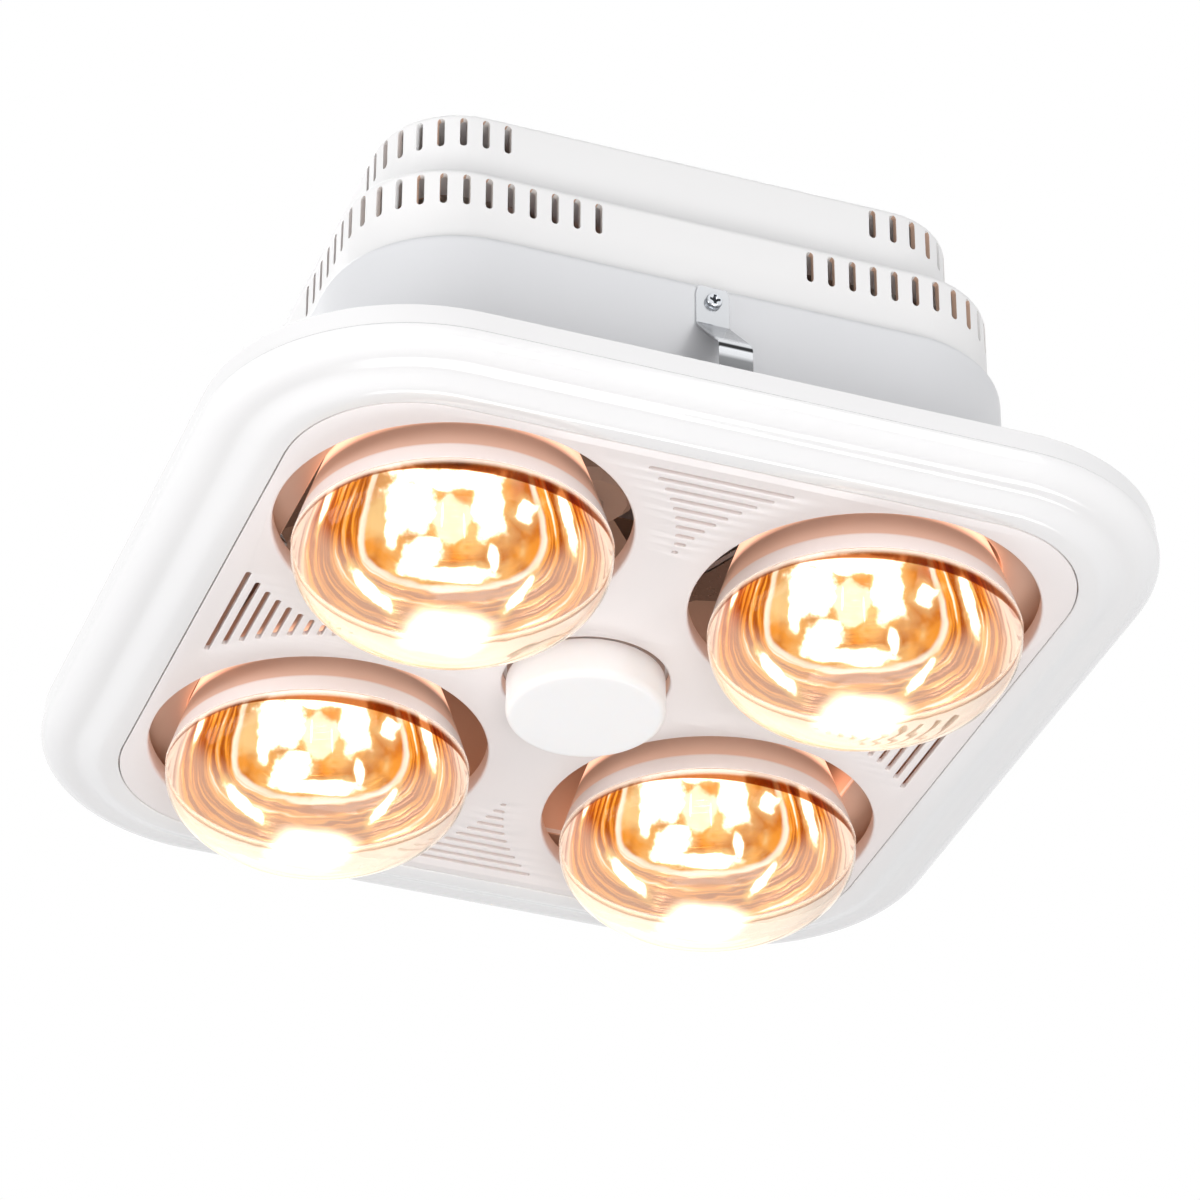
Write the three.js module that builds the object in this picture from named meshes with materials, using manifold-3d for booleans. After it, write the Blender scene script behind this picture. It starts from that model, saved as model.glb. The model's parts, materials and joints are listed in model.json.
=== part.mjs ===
// Ceiling mounted heater with four reflector heat lamps, a centre light and an exhaust fan.
// Millimetres, +Z up. The origin is the centre of the ceiling plane, where the fascia's rim
// meets the ceiling: the vented housing stands above it, the fascia and the lamps hang below.
import * as THREE from 'three';
import { mergeVertices } from 'three/addons/utils/BufferGeometryUtils.js';
import Module from 'manifold-3d';

const wasm = await Module();
wasm.setup();

// ---------------------------------------------------------------- driving dimensions

const SEAT = 0.3; // gap between two pieces that seat on each other
const SHEET = 1.2; // steel sheet
const CORNER_STEPS = 5; // facets of a rounded corner
const GLASS_SIDES = 14; // facets round a lamp's glass
const CAP_SIDES = 10; // facets round a lamp's cap and its holder
const MOTOR_SIDES = 14; // facets round the motor and its impeller's hub
const LIGHT_SIDES = 18; // facets round the centre light

// heat lamps: openings, panel, border and housing are laid out round them
const LAMP_RADIUS = 62.5;
const LAMP_LENGTH = 181;
const LAMP_DROP = 43.5; // tip below the panel's face
const DOME_DEPTH = 33.5;
const DOME_POWER = 2.3;
const REFLECTOR_LENGTH = 95;
const NECK_RADIUS = 20;
const GLASS_WALL = 1.2;
const CAP_RADIUS = 13.4;
const CAP_LENGTH = 26;
const CAP_WALL = 0.9;
const CONTACT_RADIUS = 5;
const HOLDER_RADIUS = 22;
const HOLDER_WALL_TOP = 19;
const HOLDER_LIP = 1.5; // the holder's mouth stands this far below the cap's end
const HOLDER_FLOOR = 3;
const HOLDER_FOOT = 20.9; // narrow part under the bracket
const STEM_DROP = 22; // below the cap's lower end
const STEM_FLARE = 8;
const FILAMENT_RADIUS = 12;
const FILAMENT_DROP = 46; // below the cap's lower end
const SUPPORT_RADIUS = 0.9;

// lamp openings, light opening and louvres
const LAMP_GAP = 7.5; // open ring round a lamp
const LAMP_WEB = 32; // panel left between two lamp openings
const LAMP_MARGIN = 5.8; // panel left outside a lamp opening
const LIGHT_HOLE_GAP = 1.7; // open ring round the centre light
const COLLAR_WALL = 2;
const COLLAR_HEIGHT = 8;
const LOUVRE_COUNT = 10;
const LOUVRE_EDGE = 10.8; // outermost slot from the panel's edge
const LOUVRE_PITCH = 5.6;
const LOUVRE_WIDTH = 2.3;
const LOUVRE_MARGIN = 16; // panel left between a slot's end and the lamp opening

// fascia
const FASCIA_CORNER = 84;
const FASCIA_DEPTH = 22; // ceiling plane to the panel's face
const FASCIA_SKIN = 2.5;
const RIM_HEIGHT = 8.6;
const RIM_STEP = 0.7; // the rim stands in behind the bullnose
const BULLNOSE_WIDTH = 12;
const BULLNOSE_HEIGHT = 8.8;
const COVE_WIDTH = 4.5;
const RIDGE_WIDTH = 9.5;
const FLAT_WIDTH = 6.7; // flat band between the ridge and the panel
const PANEL_GROOVE = 0.5; // open line round the panel
const PANEL_THICKNESS = 2.5;
const LEDGE_WIDTH = 3.3;
const LEDGE_THICKNESS = 2;
const SEAT_WALL = 2.5;
const FASCIA_BOSS_RADIUS = 4;
const FASCIA_BOSS_GAP = 1.2; // between the boss and the seat's wall
const FASCIA_SCREW_LENGTH = 12;
const HOOK_WIDTH = 14;
const HOOK_STEM = 1.8;
const HOOK_NOSE = 1.4;

// housing
const HOUSING_WALL = 2.5;
const LAMP_CLEARANCE = 0.32; // lamp to the housing's wall, at the flange
const CORNER_SHIFT = 2; // the lowest tier's corner is centred this far outside the lamp's axis
const LOW_TOP = 79;
const MIDDLE_TOP = 115;
const MIDDLE_INSET = 6.5;
const MIDDLE_CORNER = 43;
const HIGH_INSET = 13.5;
const HIGH_CORNER = 36;
const TIER_ROUND = 4.5;
const POST_RADIUS = 5;
const POST_HEIGHT = 10;
const POST_OFFSET = 51;
const BRACKET_SCREW_GRIP = 8; // depth of the bracket screws in their posts
const DECK_BOSS_RADIUS = 4.5;
const DECK_BOSS_HEIGHT = 12;
const DECK_SCREW_GRIP = 8; // depth of the deck screws in their bosses
const FLANGE_INSET = 19; // from the fascia's edge
const FLANGE_THICKNESS = 2.5;
const FLANGE_TOP = -3.2;
const VENT_PITCH = 9.15;
const VENT_WIDTH = 3;
const MIDDLE_VENT_DROP = 11.3; // middle of the vents below the tier's top
const MIDDLE_VENT_HEIGHT = 14.8;
const HIGH_VENT_DROP = 9.8;
const HIGH_VENT_HEIGHT = 14;
const WIRE_HOLE_RADIUS = 7;
const WIRE_HOLE_SHIFT = 15; // from the middle of the supply box

// deck and lamp bracket
const DECK_GAP = 0.4; // round the deck's edge
const DECK_NECK_GAP = 6; // round a lamp's neck
const ORIFICE_RADIUS = 80;
const ORIFICE_HEIGHT = 12;
const BRACKET_HUB_RADIUS = 46;
const BRACKET_ARM_WIDTH = 36;
const BRACKET_LIP = 6;

// fan
const MOTOR_RADIUS = 38;
const MOTOR_WALL = 1.5;
const MOTOR_LENGTH = 43;
const END_CAP_THICKNESS = 2.7;
const BEARING_RADIUS = 8;
const BEARING_WIDTH = 6;
const BEARING_SEAT_WALL = 2.7;
const SHAFT_RADIUS = 4;
const SHAFT_DROP = 33; // below the motor's end cap
const STATOR_INNER = 21;
const STATOR_HEIGHT = 18;
const AIR_GAP = 0.6;
const HUB_RADIUS = 21;
const HUB_HEIGHT = 20;
const HUB_WALL = 2.2;
const BLADE_COUNT = 6;
const BLADE_TIP_GAP = 3; // inside the orifice
const BLADE_THICKNESS = 1.8;
const NUT_RADIUS = 7;
const NUT_HEIGHT = 5;

// centre light
const LIGHT_RADIUS = 32.3;
const LIGHT_DROP = 16; // below the panel's face
const LIGHT_EDGE = 3;
const COVER_WALL = 1.6;
const COVER_HEIGHT = 17;
const SINK_FLANGE_WIDTH = 6; // beyond the light opening
const SINK_FLANGE_THICKNESS = 2;
const SINK_FIN_COUNT = 5;
const SINK_FIN_HEIGHT = 20;
const SINK_FIN_THICKNESS = 1.6;
const BOARD_THICKNESS = 1.6;
const CHIP_COUNT = 7;
const CHIP_SIZE = 3.4;
const CHIP_RADIUS = 18;

// spring clips
const CLIP_WIDTH = 14;
const CLIP_THICKNESS = 1;
const CLIP_TOP_DROP = 3; // below the lowest tier's top
const CLIP_PLATE_HEIGHT = 18; // from the strip's end to the bend that flexes
const CLIP_SCREW_DROP = 7.3; // below the strip's end
const CLIP_REACH = 24.5;
const CLIP_SLANT_END = 36;
const CLIP_FOOT = 12; // underside of the foot above the ceiling plane
const CLIP_FOOT_RADIUS = 4;
const CLIP_BOSS_RADIUS = 4.2;
const CLIP_BOSS_DEPTH = 6;

// supply box, control gear and cut-out
const BOX_LENGTH = 76;
const BOX_WIDTH = 46;
const BOX_HEIGHT = 25;
const BOX_WALL = 2;
const BOX_PLACE = 58; // along Y
const GLAND_RADIUS = 9;
const GLAND_LENGTH = 16;
const GLAND_BORE = 4.5;
const GLAND_COLLAR = 3;
const BLOCK_LENGTH = 52;
const BLOCK_WIDTH = 18;
const BLOCK_HEIGHT = 15;
const BLOCK_POLES = 4;
const BLOCK_SHIFT = 4; // from the middle of the supply box
const DRIVER_SIZE = [64, 26, 19];
const CAPACITOR_SIZE = [38, 20, 27];
const GEAR_INSET = 23.5; // middle of driver and capacitor from the middle tier's wall
const CUTOUT_RADIUS = 8;
const CUTOUT_HEIGHT = 7;
const CUTOUT_OFFSET = 33;

// screws
const SCREW_RADIUS = 1.8;
const SCREW_CLEARANCE = 0.3;
const SCREW_HEAD_RADIUS = 3.6;
const SCREW_HEAD_HEIGHT = 2.2;
const SCREW_SLOT_WIDTH = 1;
const BORE = SCREW_RADIUS + SCREW_CLEARANCE;

// ---------------------------------------------------------------- layout that follows from them

// plan of the panel and the border
const LAMP_HOLE_RADIUS = LAMP_RADIUS + LAMP_GAP;
const LAMP_OFFSET = LAMP_HOLE_RADIUS + LAMP_WEB / 2; // lamp axis from the centre
const LIGHT_HOLE_RADIUS = LIGHT_RADIUS + LIGHT_HOLE_GAP;
const PANEL_HALF = LAMP_OFFSET + LAMP_HOLE_RADIUS + LAMP_MARGIN;
const LOUVRE_OUTER = PANEL_HALF - LOUVRE_EDGE;
const BORDER = PANEL_GROOVE + FLAT_WIDTH + RIDGE_WIDTH + COVE_WIDTH + BULLNOSE_WIDTH;
const FASCIA_HALF = PANEL_HALF + BORDER;
const FLANGE_HALF = FASCIA_HALF - FLANGE_INSET;
const FLANGE_CORNER = FASCIA_CORNER - FLANGE_INSET;
const bossReach = FASCIA_CORNER - BORDER + PANEL_GROOVE + SEAT_WALL + FASCIA_BOSS_RADIUS
  + FASCIA_BOSS_GAP;

// heights
const PANEL_FACE = -FASCIA_DEPTH;
const PANEL_BACK = PANEL_FACE + PANEL_THICKNESS;
const FLANGE_UNDERSIDE = FLANGE_TOP - FLANGE_THICKNESS;
const LAMP_TIP = PANEL_FACE - LAMP_DROP;
const LAMP_WIDEST = LAMP_TIP + DOME_DEPTH;
const REFLECTOR_TOP = LAMP_WIDEST + REFLECTOR_LENGTH;
const CAP_TOP = LAMP_TIP + LAMP_LENGTH;
const CAP_BOTTOM = CAP_TOP - CAP_LENGTH;
const BRACKET_UNDERSIDE = CAP_TOP + SEAT + HOLDER_FLOOR + HOLDER_FOOT + SEAT;
const BRACKET_TOP = BRACKET_UNDERSIDE + SHEET;
const HOUSING_CEILING = BRACKET_TOP + SEAT + POST_HEIGHT;
const HOUSING_TOP = HOUSING_CEILING + HOUSING_WALL;
const DECK_TOP = LOW_TOP - HOUSING_WALL - SEAT;
const DECK_UNDERSIDE = DECK_TOP - SHEET;
const MOTOR_TOP = BRACKET_UNDERSIDE - SEAT;
const MOTOR_BOTTOM = MOTOR_TOP - MOTOR_LENGTH;
const END_CAP_TOP = MOTOR_BOTTOM - SEAT;
const END_CAP_BOTTOM = END_CAP_TOP - END_CAP_THICKNESS;

/** Radius of the lamp's reflector at a height. */
function reflectorRadius(height) {
  const growth = (LAMP_RADIUS ** 2 - NECK_RADIUS ** 2) / REFLECTOR_LENGTH;
  return Math.sqrt(NECK_RADIUS ** 2 + growth * (REFLECTOR_TOP - height));
}

// tiers of the housing, from below
const lowHalf = LAMP_OFFSET + reflectorRadius(FLANGE_UNDERSIDE) + LAMP_CLEARANCE + HOUSING_WALL;
const middleHalf = lowHalf - MIDDLE_INSET;
const TIERS = [
  { half: lowHalf, corner: lowHalf - LAMP_OFFSET - CORNER_SHIFT, top: LOW_TOP },
  { half: middleHalf, corner: MIDDLE_CORNER, top: MIDDLE_TOP },
  { half: middleHalf - HIGH_INSET, corner: HIGH_CORNER, top: HOUSING_TOP },
];
const MIDDLE_VENTS = {
  tier: 1, count: 19, centre: MIDDLE_TOP - MIDDLE_VENT_DROP, height: MIDDLE_VENT_HEIGHT,
};
const HIGH_VENTS = {
  tier: 2, count: 9, centre: HOUSING_TOP - HIGH_VENT_DROP, height: HIGH_VENT_HEIGHT,
};
const deckScrewPlace = middleHalf - HOUSING_WALL - DECK_BOSS_RADIUS * 0.8;
const clipScrewHeight = LOW_TOP - CLIP_TOP_DROP - CLIP_SCREW_DROP;

const LAMP_PLACES = [
  [-LAMP_OFFSET, -LAMP_OFFSET],
  [LAMP_OFFSET, -LAMP_OFFSET],
  [-LAMP_OFFSET, LAMP_OFFSET],
  [LAMP_OFFSET, LAMP_OFFSET],
];

// ---------------------------------------------------------------- finishes

const paint = (color, roughness, metalness = 0) =>
  new THREE.MeshStandardMaterial({ color, roughness, metalness });
const GLOSS_WHITE = paint(0xf3f1ef, 0.18);
const SATIN_WHITE = paint(0xf1ebe7, 0.42);
const HOUSING_WHITE = paint(0xeceae6, 0.5);
const GALVANISED = paint(0xb4b8ba, 0.4, 1);
const ZINC = paint(0xc3cad0, 0.3, 1);
const LAMP_GLASS = paint(0xe39a3c, 0.08);
const CAP_METAL = paint(0xc9b27a, 0.35, 1);
const PORCELAIN = paint(0xf4f0e6, 0.3);
const TUNGSTEN = paint(0xffe2a8, 0.4);
const STEEL = paint(0x8d9296, 0.4, 1);
const COPPER = paint(0xa8642f, 0.4, 1);
const FAN_PLASTIC = paint(0xd9d6cf, 0.5);
const OPAL = paint(0xf8f7f4, 0.45);
const ALUMINIUM = paint(0xc4c7c9, 0.4, 1);
const CIRCUIT_WHITE = paint(0xe9ece8, 0.5);
const DARK_PLASTIC = paint(0x3b3c3e, 0.5);
const GREY_PLASTIC = paint(0xa9abab, 0.5);

// ---------------------------------------------------------------- geometry helpers

/** Keeps positions only, welds them, drops empty triangles and turns the faces outwards. */
function weld(source) {
  const plain = source.clone();
  plain.deleteAttribute('normal');
  plain.deleteAttribute('uv');
  const merged = mergeVertices(plain, 1e-4);
  const corners = merged.index.array;
  const kept = [];
  for (let i = 0; i < corners.length; i += 3) {
    const [a, b, c] = [corners[i], corners[i + 1], corners[i + 2]];
    if (a !== b && b !== c && a !== c) kept.push(a, b, c);
  }
  if (signedVolume(merged.attributes.position, kept) < 0) kept.reverse();
  merged.setIndex(kept);
  return merged;
}

/** Six times the signed volume inside a triangle list. */
function signedVolume(position, index) {
  const [a, b, c] = [new THREE.Vector3(), new THREE.Vector3(), new THREE.Vector3()];
  let total = 0;
  for (let i = 0; i < index.length; i += 3) {
    a.fromBufferAttribute(position, index[i]);
    b.fromBufferAttribute(position, index[i + 1]);
    c.fromBufferAttribute(position, index[i + 2]);
    total += a.dot(b.cross(c));
  }
  return total;
}

/** A manifold-3d solid of a geometry. */
function solid(geometry) {
  const welded = weld(geometry);
  return new wasm.Manifold(new wasm.Mesh({
    numProp: 3,
    vertProperties: new Float32Array(welded.attributes.position.array),
    triVerts: new Uint32Array(welded.index.array),
  }));
}

/** The geometry of a manifold-3d solid. */
function geometryOf(body) {
  const mesh = body.getMesh();
  const geometry = new THREE.BufferGeometry();
  geometry.setAttribute('position', new THREE.BufferAttribute(mesh.vertProperties, 3));
  geometry.setIndex(new THREE.BufferAttribute(mesh.triVerts, 1));
  return geometry;
}

/** Joins geometries to a base and then cuts others away from it. */
function carve(base, joined = [], removed = []) {
  let body = solid(base);
  for (const item of joined) body = body.add(solid(item));
  for (const item of removed) body = body.subtract(solid(item));
  return geometryOf(body);
}

/** Distance from the axis to the flats of a faceted round. */
const acrossFlats = (radius, sides) => radius * Math.cos(Math.PI / sides);

/** A turned piece about the Z axis from a profile of [radius, height] points. */
function turned(profile, segments = 24) {
  const points = profile.map(([radius, height]) => new THREE.Vector2(radius, height));
  return new THREE.LatheGeometry(points, segments).rotateX(Math.PI / 2);
}

/** A turned ring: its profile closes on itself. */
const turnedRing = (profile, segments) => turned([...profile, profile[0]], segments);

/** An upright cylinder between two heights. */
function rod(radius, bottom, top, x = 0, y = 0, segments = 16) {
  const geometry = new THREE.CylinderGeometry(radius, radius, top - bottom, segments);
  return geometry.rotateX(Math.PI / 2).translate(x, y, (top + bottom) / 2);
}

/** A box by its size, its centre in plan and its underside. */
function block(sizeX, sizeY, sizeZ, x, y, bottom) {
  return new THREE.BoxGeometry(sizeX, sizeY, sizeZ).translate(x, y, bottom + sizeZ / 2);
}

/** Points of a rounded square at one height, anticlockwise from the +X side. */
function squareRing(half, corner, height, steps = CORNER_STEPS) {
  const points = [];
  for (let quarter = 0; quarter < 4; quarter += 1) {
    const start = (quarter * Math.PI) / 2;
    const centreX = (half - corner) * Math.sign(Math.cos(start + Math.PI / 4));
    const centreY = (half - corner) * Math.sign(Math.sin(start + Math.PI / 4));
    for (let step = 0; step <= steps; step += 1) {
      const angle = start + (step / steps) * (Math.PI / 2);
      points.push(new THREE.Vector3(
        centreX + corner * Math.cos(angle),
        centreY + corner * Math.sin(angle),
        height,
      ));
    }
  }
  return points;
}

/** A closed body through rings of equal count: capped at both ends, or closed on itself. */
function ringBody(rings, closed = false) {
  const count = rings[0].length;
  const positions = rings.flat().flatMap((point) => [point.x, point.y, point.z]);
  const index = [];
  const spans = closed ? rings.length : rings.length - 1;
  for (let i = 0; i < spans; i += 1) {
    const [here, next] = [i * count, ((i + 1) % rings.length) * count];
    for (let j = 0; j < count; j += 1) {
      const k = (j + 1) % count;
      index.push(here + j, here + k, next + k, here + j, next + k, next + j);
    }
  }
  if (!closed) {
    const last = (rings.length - 1) * count;
    for (let j = 1; j < count - 1; j += 1) {
      index.push(0, j + 1, j);
      index.push(last, last + j, last + j + 1);
    }
  }
  const geometry = new THREE.BufferGeometry();
  geometry.setAttribute('position', new THREE.Float32BufferAttribute(positions, 3));
  geometry.setIndex(index);
  return geometry;
}

/** A round bar along a path of points. */
function bar(points, radius, steps, sides = 6) {
  const outline = new THREE.Shape();
  for (let side = 0; side < sides; side += 1) {
    const angle = (side / sides) * 2 * Math.PI;
    const [x, y] = [radius * Math.cos(angle), radius * Math.sin(angle)];
    if (side === 0) outline.moveTo(x, y);
    else outline.lineTo(x, y);
  }
  const path = new THREE.CatmullRomCurve3(points);
  return new THREE.ExtrudeGeometry(outline, { steps, extrudePath: path });
}

/** Points of an arc in a plane, as [across, height] pairs. */
function arc(centreAcross, centreHeight, radius, from, to, steps) {
  return Array.from({ length: steps + 1 }, (_, step) => {
    const angle = THREE.MathUtils.degToRad(from + ((to - from) * step) / steps);
    return [centreAcross + radius * Math.cos(angle), centreHeight + radius * Math.sin(angle)];
  });
}

/** A strip of even thickness that follows a path in the YZ plane, centred on X. */
function strip(path, thickness, width) {
  const left = [];
  const right = [];
  path.forEach(([across, height], i) => {
    const before = path[Math.max(i - 1, 0)];
    const after = path[Math.min(i + 1, path.length - 1)];
    const run = new THREE.Vector2(after[0] - before[0], after[1] - before[1]).normalize();
    left.push(new THREE.Vector2(
      across - (run.y * thickness) / 2, height + (run.x * thickness) / 2,
    ));
    right.push(new THREE.Vector2(
      across + (run.y * thickness) / 2, height - (run.x * thickness) / 2,
    ));
  });
  const outline = new THREE.Shape([...left, ...right.reverse()]);
  const sheet = new THREE.ExtrudeGeometry(outline, { depth: width, bevelEnabled: false });
  return sheet.translate(0, 0, -width / 2).rotateX(Math.PI / 2).rotateZ(Math.PI / 2);
}

/** A hexagon head screw: pointed shank up along +Z from z = 0, head below. */
const hexScrew = (length) => turned([
  [0, length], [SCREW_RADIUS, length - 2 * SCREW_RADIUS], [SCREW_RADIUS, 0],
  [SCREW_HEAD_RADIUS, 0], [SCREW_HEAD_RADIUS, -SCREW_HEAD_HEIGHT], [0, -SCREW_HEAD_HEIGHT],
], 6);

/** A pan head screw: pointed shank up along +Z, head below with a crossed recess. */
function screw(length) {
  const shape = turned([
    [0, length], [SCREW_RADIUS, length - 2 * SCREW_RADIUS], [SCREW_RADIUS, 0],
    [SCREW_HEAD_RADIUS, 0], [SCREW_HEAD_RADIUS, -SCREW_HEAD_HEIGHT * 0.4],
    [SCREW_HEAD_RADIUS * 0.6, -SCREW_HEAD_HEIGHT], [0, -SCREW_HEAD_HEIGHT],
  ], 8);
  const depth = SCREW_HEAD_HEIGHT / 2;
  const reach = SCREW_HEAD_RADIUS * 1.1;
  const under = -SCREW_HEAD_HEIGHT - depth / 2;
  return carve(shape, [], [
    block(reach, SCREW_SLOT_WIDTH, depth + depth / 2, 0, 0, under),
    block(SCREW_SLOT_WIDTH, reach, depth + depth / 2, 0, 0, under),
  ]);
}

/** A geometry and its copy half a turn on about Z. */
const pair = (geometry) => [geometry, geometry.clone().rotateZ(Math.PI)];

/** Four copies of a geometry, each a quarter turn on about Z. */
const fourfold = (geometry) =>
  [0, 1, 2, 3].map((turn) => geometry.clone().rotateZ((turn * Math.PI) / 2));

const assembly = new THREE.Group();

/** Adds a named piece to the assembly or to a group inside it. */
function piece(name, geometry, material, parent = assembly) {
  const mesh = new THREE.Mesh(weld(geometry), material.clone());
  mesh.name = name;
  parent.add(mesh);
  return mesh;
}

// ---------------------------------------------------------------- fascia

/** Ring of the fascia at a distance from the centre: its corners stay concentric. */
const fasciaRing = ([half, height]) =>
  squareRing(half, half - (FASCIA_HALF - FASCIA_CORNER), height, CORNER_STEPS + 1);

/** The border's section: rim, bullnose, cove, ridge, panel rebate and the wall on its back. */
function fasciaSection() {
  const inner = PANEL_HALF + PANEL_GROOVE;
  const bullInner = FASCIA_HALF - BULLNOSE_WIDTH;
  const ridgeOuter = bullInner - COVE_WIDTH;
  const ridgeInner = ridgeOuter - RIDGE_WIDTH;
  const shoulder = -RIM_HEIGHT - RIM_STEP;
  const coveFace = shoulder - BULLNOSE_HEIGHT;
  const ledgeFace = PANEL_BACK + SEAT;
  const wallTop = FLANGE_UNDERSIDE - SEAT;
  const quarter = (inset, degrees) => degrees.map((degree) => {
    const angle = THREE.MathUtils.degToRad(degree);
    return [
      bullInner + (BULLNOSE_WIDTH - inset) * Math.cos(angle),
      shoulder - (BULLNOSE_HEIGHT - inset) * Math.sin(angle),
    ];
  });
  const face = [
    [FASCIA_HALF - RIM_STEP, 0],
    [FASCIA_HALF - RIM_STEP, -RIM_HEIGHT],
    ...quarter(0, [0, 30, 60, 90]),
    [ridgeOuter, coveFace - 0.4],
    [ridgeOuter - RIDGE_WIDTH * 0.45, coveFace * 0.22 + PANEL_FACE * 0.78],
    [ridgeInner, PANEL_FACE],
    [inner, PANEL_FACE],
  ];
  const back = [
    [inner, ledgeFace],
    [inner - LEDGE_WIDTH, ledgeFace],
    [inner - LEDGE_WIDTH, ledgeFace + LEDGE_THICKNESS],
    [inner, ledgeFace + LEDGE_THICKNESS],
    [inner, wallTop],
    [inner + SEAT_WALL, wallTop],
    [inner + SEAT_WALL, PANEL_FACE + FASCIA_SKIN],
    [ridgeOuter, coveFace + FASCIA_SKIN],
    ...quarter(FASCIA_SKIN, [90, 45, 0]),
    [FASCIA_HALF - RIM_STEP - FASCIA_SKIN, 0],
  ];
  return [...face, ...back];
}

const bossPlace = FASCIA_HALF - FASCIA_CORNER + bossReach * Math.SQRT1_2;
const bossFloor = PANEL_FACE + FASCIA_SKIN / 2;
const bossTop = FLANGE_UNDERSIDE - SEAT;

function fasciaFrame() {
  const bosses = fourfold(rod(FASCIA_BOSS_RADIUS, bossFloor, bossTop, bossPlace, bossPlace, 6));
  const bores = fourfold(
    rod(BORE, PANEL_BACK + SEAT, bossTop + 1, bossPlace, bossPlace, 6),
  );
  return carve(ringBody(fasciaSection().map(fasciaRing), true), bosses, bores);
}
piece('fascia_frame', fasciaFrame(), GLOSS_WHITE);

/** The slots of one triangular louvre group, on the +X side. */
function louvreSlots() {
  const keepOut = LAMP_HOLE_RADIUS + LOUVRE_MARGIN;
  const slots = [];
  for (let i = 0; i < LOUVRE_COUNT; i += 1) {
    const place = LOUVRE_OUTER - i * LOUVRE_PITCH;
    const reach = Math.sqrt(Math.max(keepOut ** 2 - (place - LAMP_OFFSET) ** 2, 0));
    const halfLength = Math.max(LAMP_OFFSET - reach, LOUVRE_WIDTH / 2);
    slots.push(
      block(LOUVRE_WIDTH, halfLength * 2, PANEL_THICKNESS * 3, place, 0,
        PANEL_FACE - PANEL_THICKNESS),
    );
  }
  return slots;
}

/** A snap hook on the panel's back that grips the frame's ledge, on the +X side. */
function hook() {
  const ledgeInner = PANEL_HALF + PANEL_GROOVE - LEDGE_WIDTH;
  const noseBottom = PANEL_BACK + SEAT + LEDGE_THICKNESS + SEAT;
  const noseTop = noseBottom + HOOK_NOSE;
  const stemX = ledgeInner - SEAT - HOOK_STEM / 2;
  const stemBottom = PANEL_BACK - PANEL_THICKNESS / 2;
  return [
    block(HOOK_STEM, HOOK_WIDTH, noseTop - stemBottom, stemX, 0, stemBottom),
    block(HOOK_STEM + HOOK_NOSE, HOOK_WIDTH, HOOK_NOSE, stemX + HOOK_NOSE / 2, 0, noseBottom),
  ];
}

/** A collar round an opening, with the rolled edge of the opening on its face side. */
function collar(radius, x, y, segments) {
  const top = PANEL_FACE + COLLAR_HEIGHT;
  const outer = radius + COLLAR_WALL;
  const overlap = PANEL_BACK - PANEL_THICKNESS / 2;
  return turnedRing([
    [radius, overlap], [outer, overlap], [outer, top], [radius, top],
  ], segments).translate(x, y, 0);
}

/** The cutter of an opening: its face side is opened by a small roll. */
function opening(radius, x, y, segments) {
  const roll = 1.2;
  return turned([
    [0, PANEL_FACE - 1], [radius + roll, PANEL_FACE - 1], [radius + roll, PANEL_FACE],
    [radius, PANEL_FACE + roll],
    [radius, PANEL_FACE + COLLAR_HEIGHT + 1], [0, PANEL_FACE + COLLAR_HEIGHT + 1],
  ], segments).translate(x, y, 0);
}

function grillePanel() {
  const corner = PANEL_HALF - (FASCIA_HALF - FASCIA_CORNER);
  const plate = ringBody([
    squareRing(PANEL_HALF, corner, PANEL_FACE, CORNER_STEPS + 1),
    squareRing(PANEL_HALF, corner, PANEL_BACK, CORNER_STEPS + 1),
  ]);
  const holes = [
    ...LAMP_PLACES.map(([x, y]) => [LAMP_HOLE_RADIUS, x, y, 24]),
    [LIGHT_HOLE_RADIUS, 0, 0, 16],
  ];
  const collars = holes.map((hole) => collar(...hole));
  const hooks = hook().flatMap(fourfold);
  const openings = holes.map((hole) => opening(...hole));
  return carve(plate, [...collars, ...hooks], [...openings, ...louvreSlots().flatMap(fourfold)]);
}
piece('grille_panel', grillePanel(), SATIN_WHITE);

// ---------------------------------------------------------------- housing

/** Place and heading on a tier's wall at a distance along it from the middle of the +X side. */
function wallPlace({ half, corner }, distance) {
  const straight = half - corner;
  if (distance <= straight) return { x: half, y: distance, heading: 0 };
  const turn = Math.min((distance - straight) / corner, Math.PI / 2);
  return {
    x: straight + corner * Math.cos(turn),
    y: straight + corner * Math.sin(turn),
    heading: turn,
  };
}

/** Cutters of the upright vents that run round one corner of a tier. */
function cornerVents({ tier, count, centre, height }) {
  const { half, corner } = TIERS[tier];
  const diagonal = half - corner + (corner * Math.PI) / 4;
  const arcEnd = half - corner + (corner * Math.PI) / 2;
  return Array.from({ length: count }, (_, i) => {
    const distance = diagonal + (i - (count - 1) / 2) * VENT_PITCH;
    const spot = wallPlace(TIERS[tier], distance);
    const past = Math.max(distance - arcEnd, 0);
    const cutter = new THREE.BoxGeometry(HOUSING_WALL * 4, VENT_WIDTH, height);
    return cutter.rotateZ(spot.heading).translate(spot.x - past, spot.y, centre);
  });
}

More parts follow.
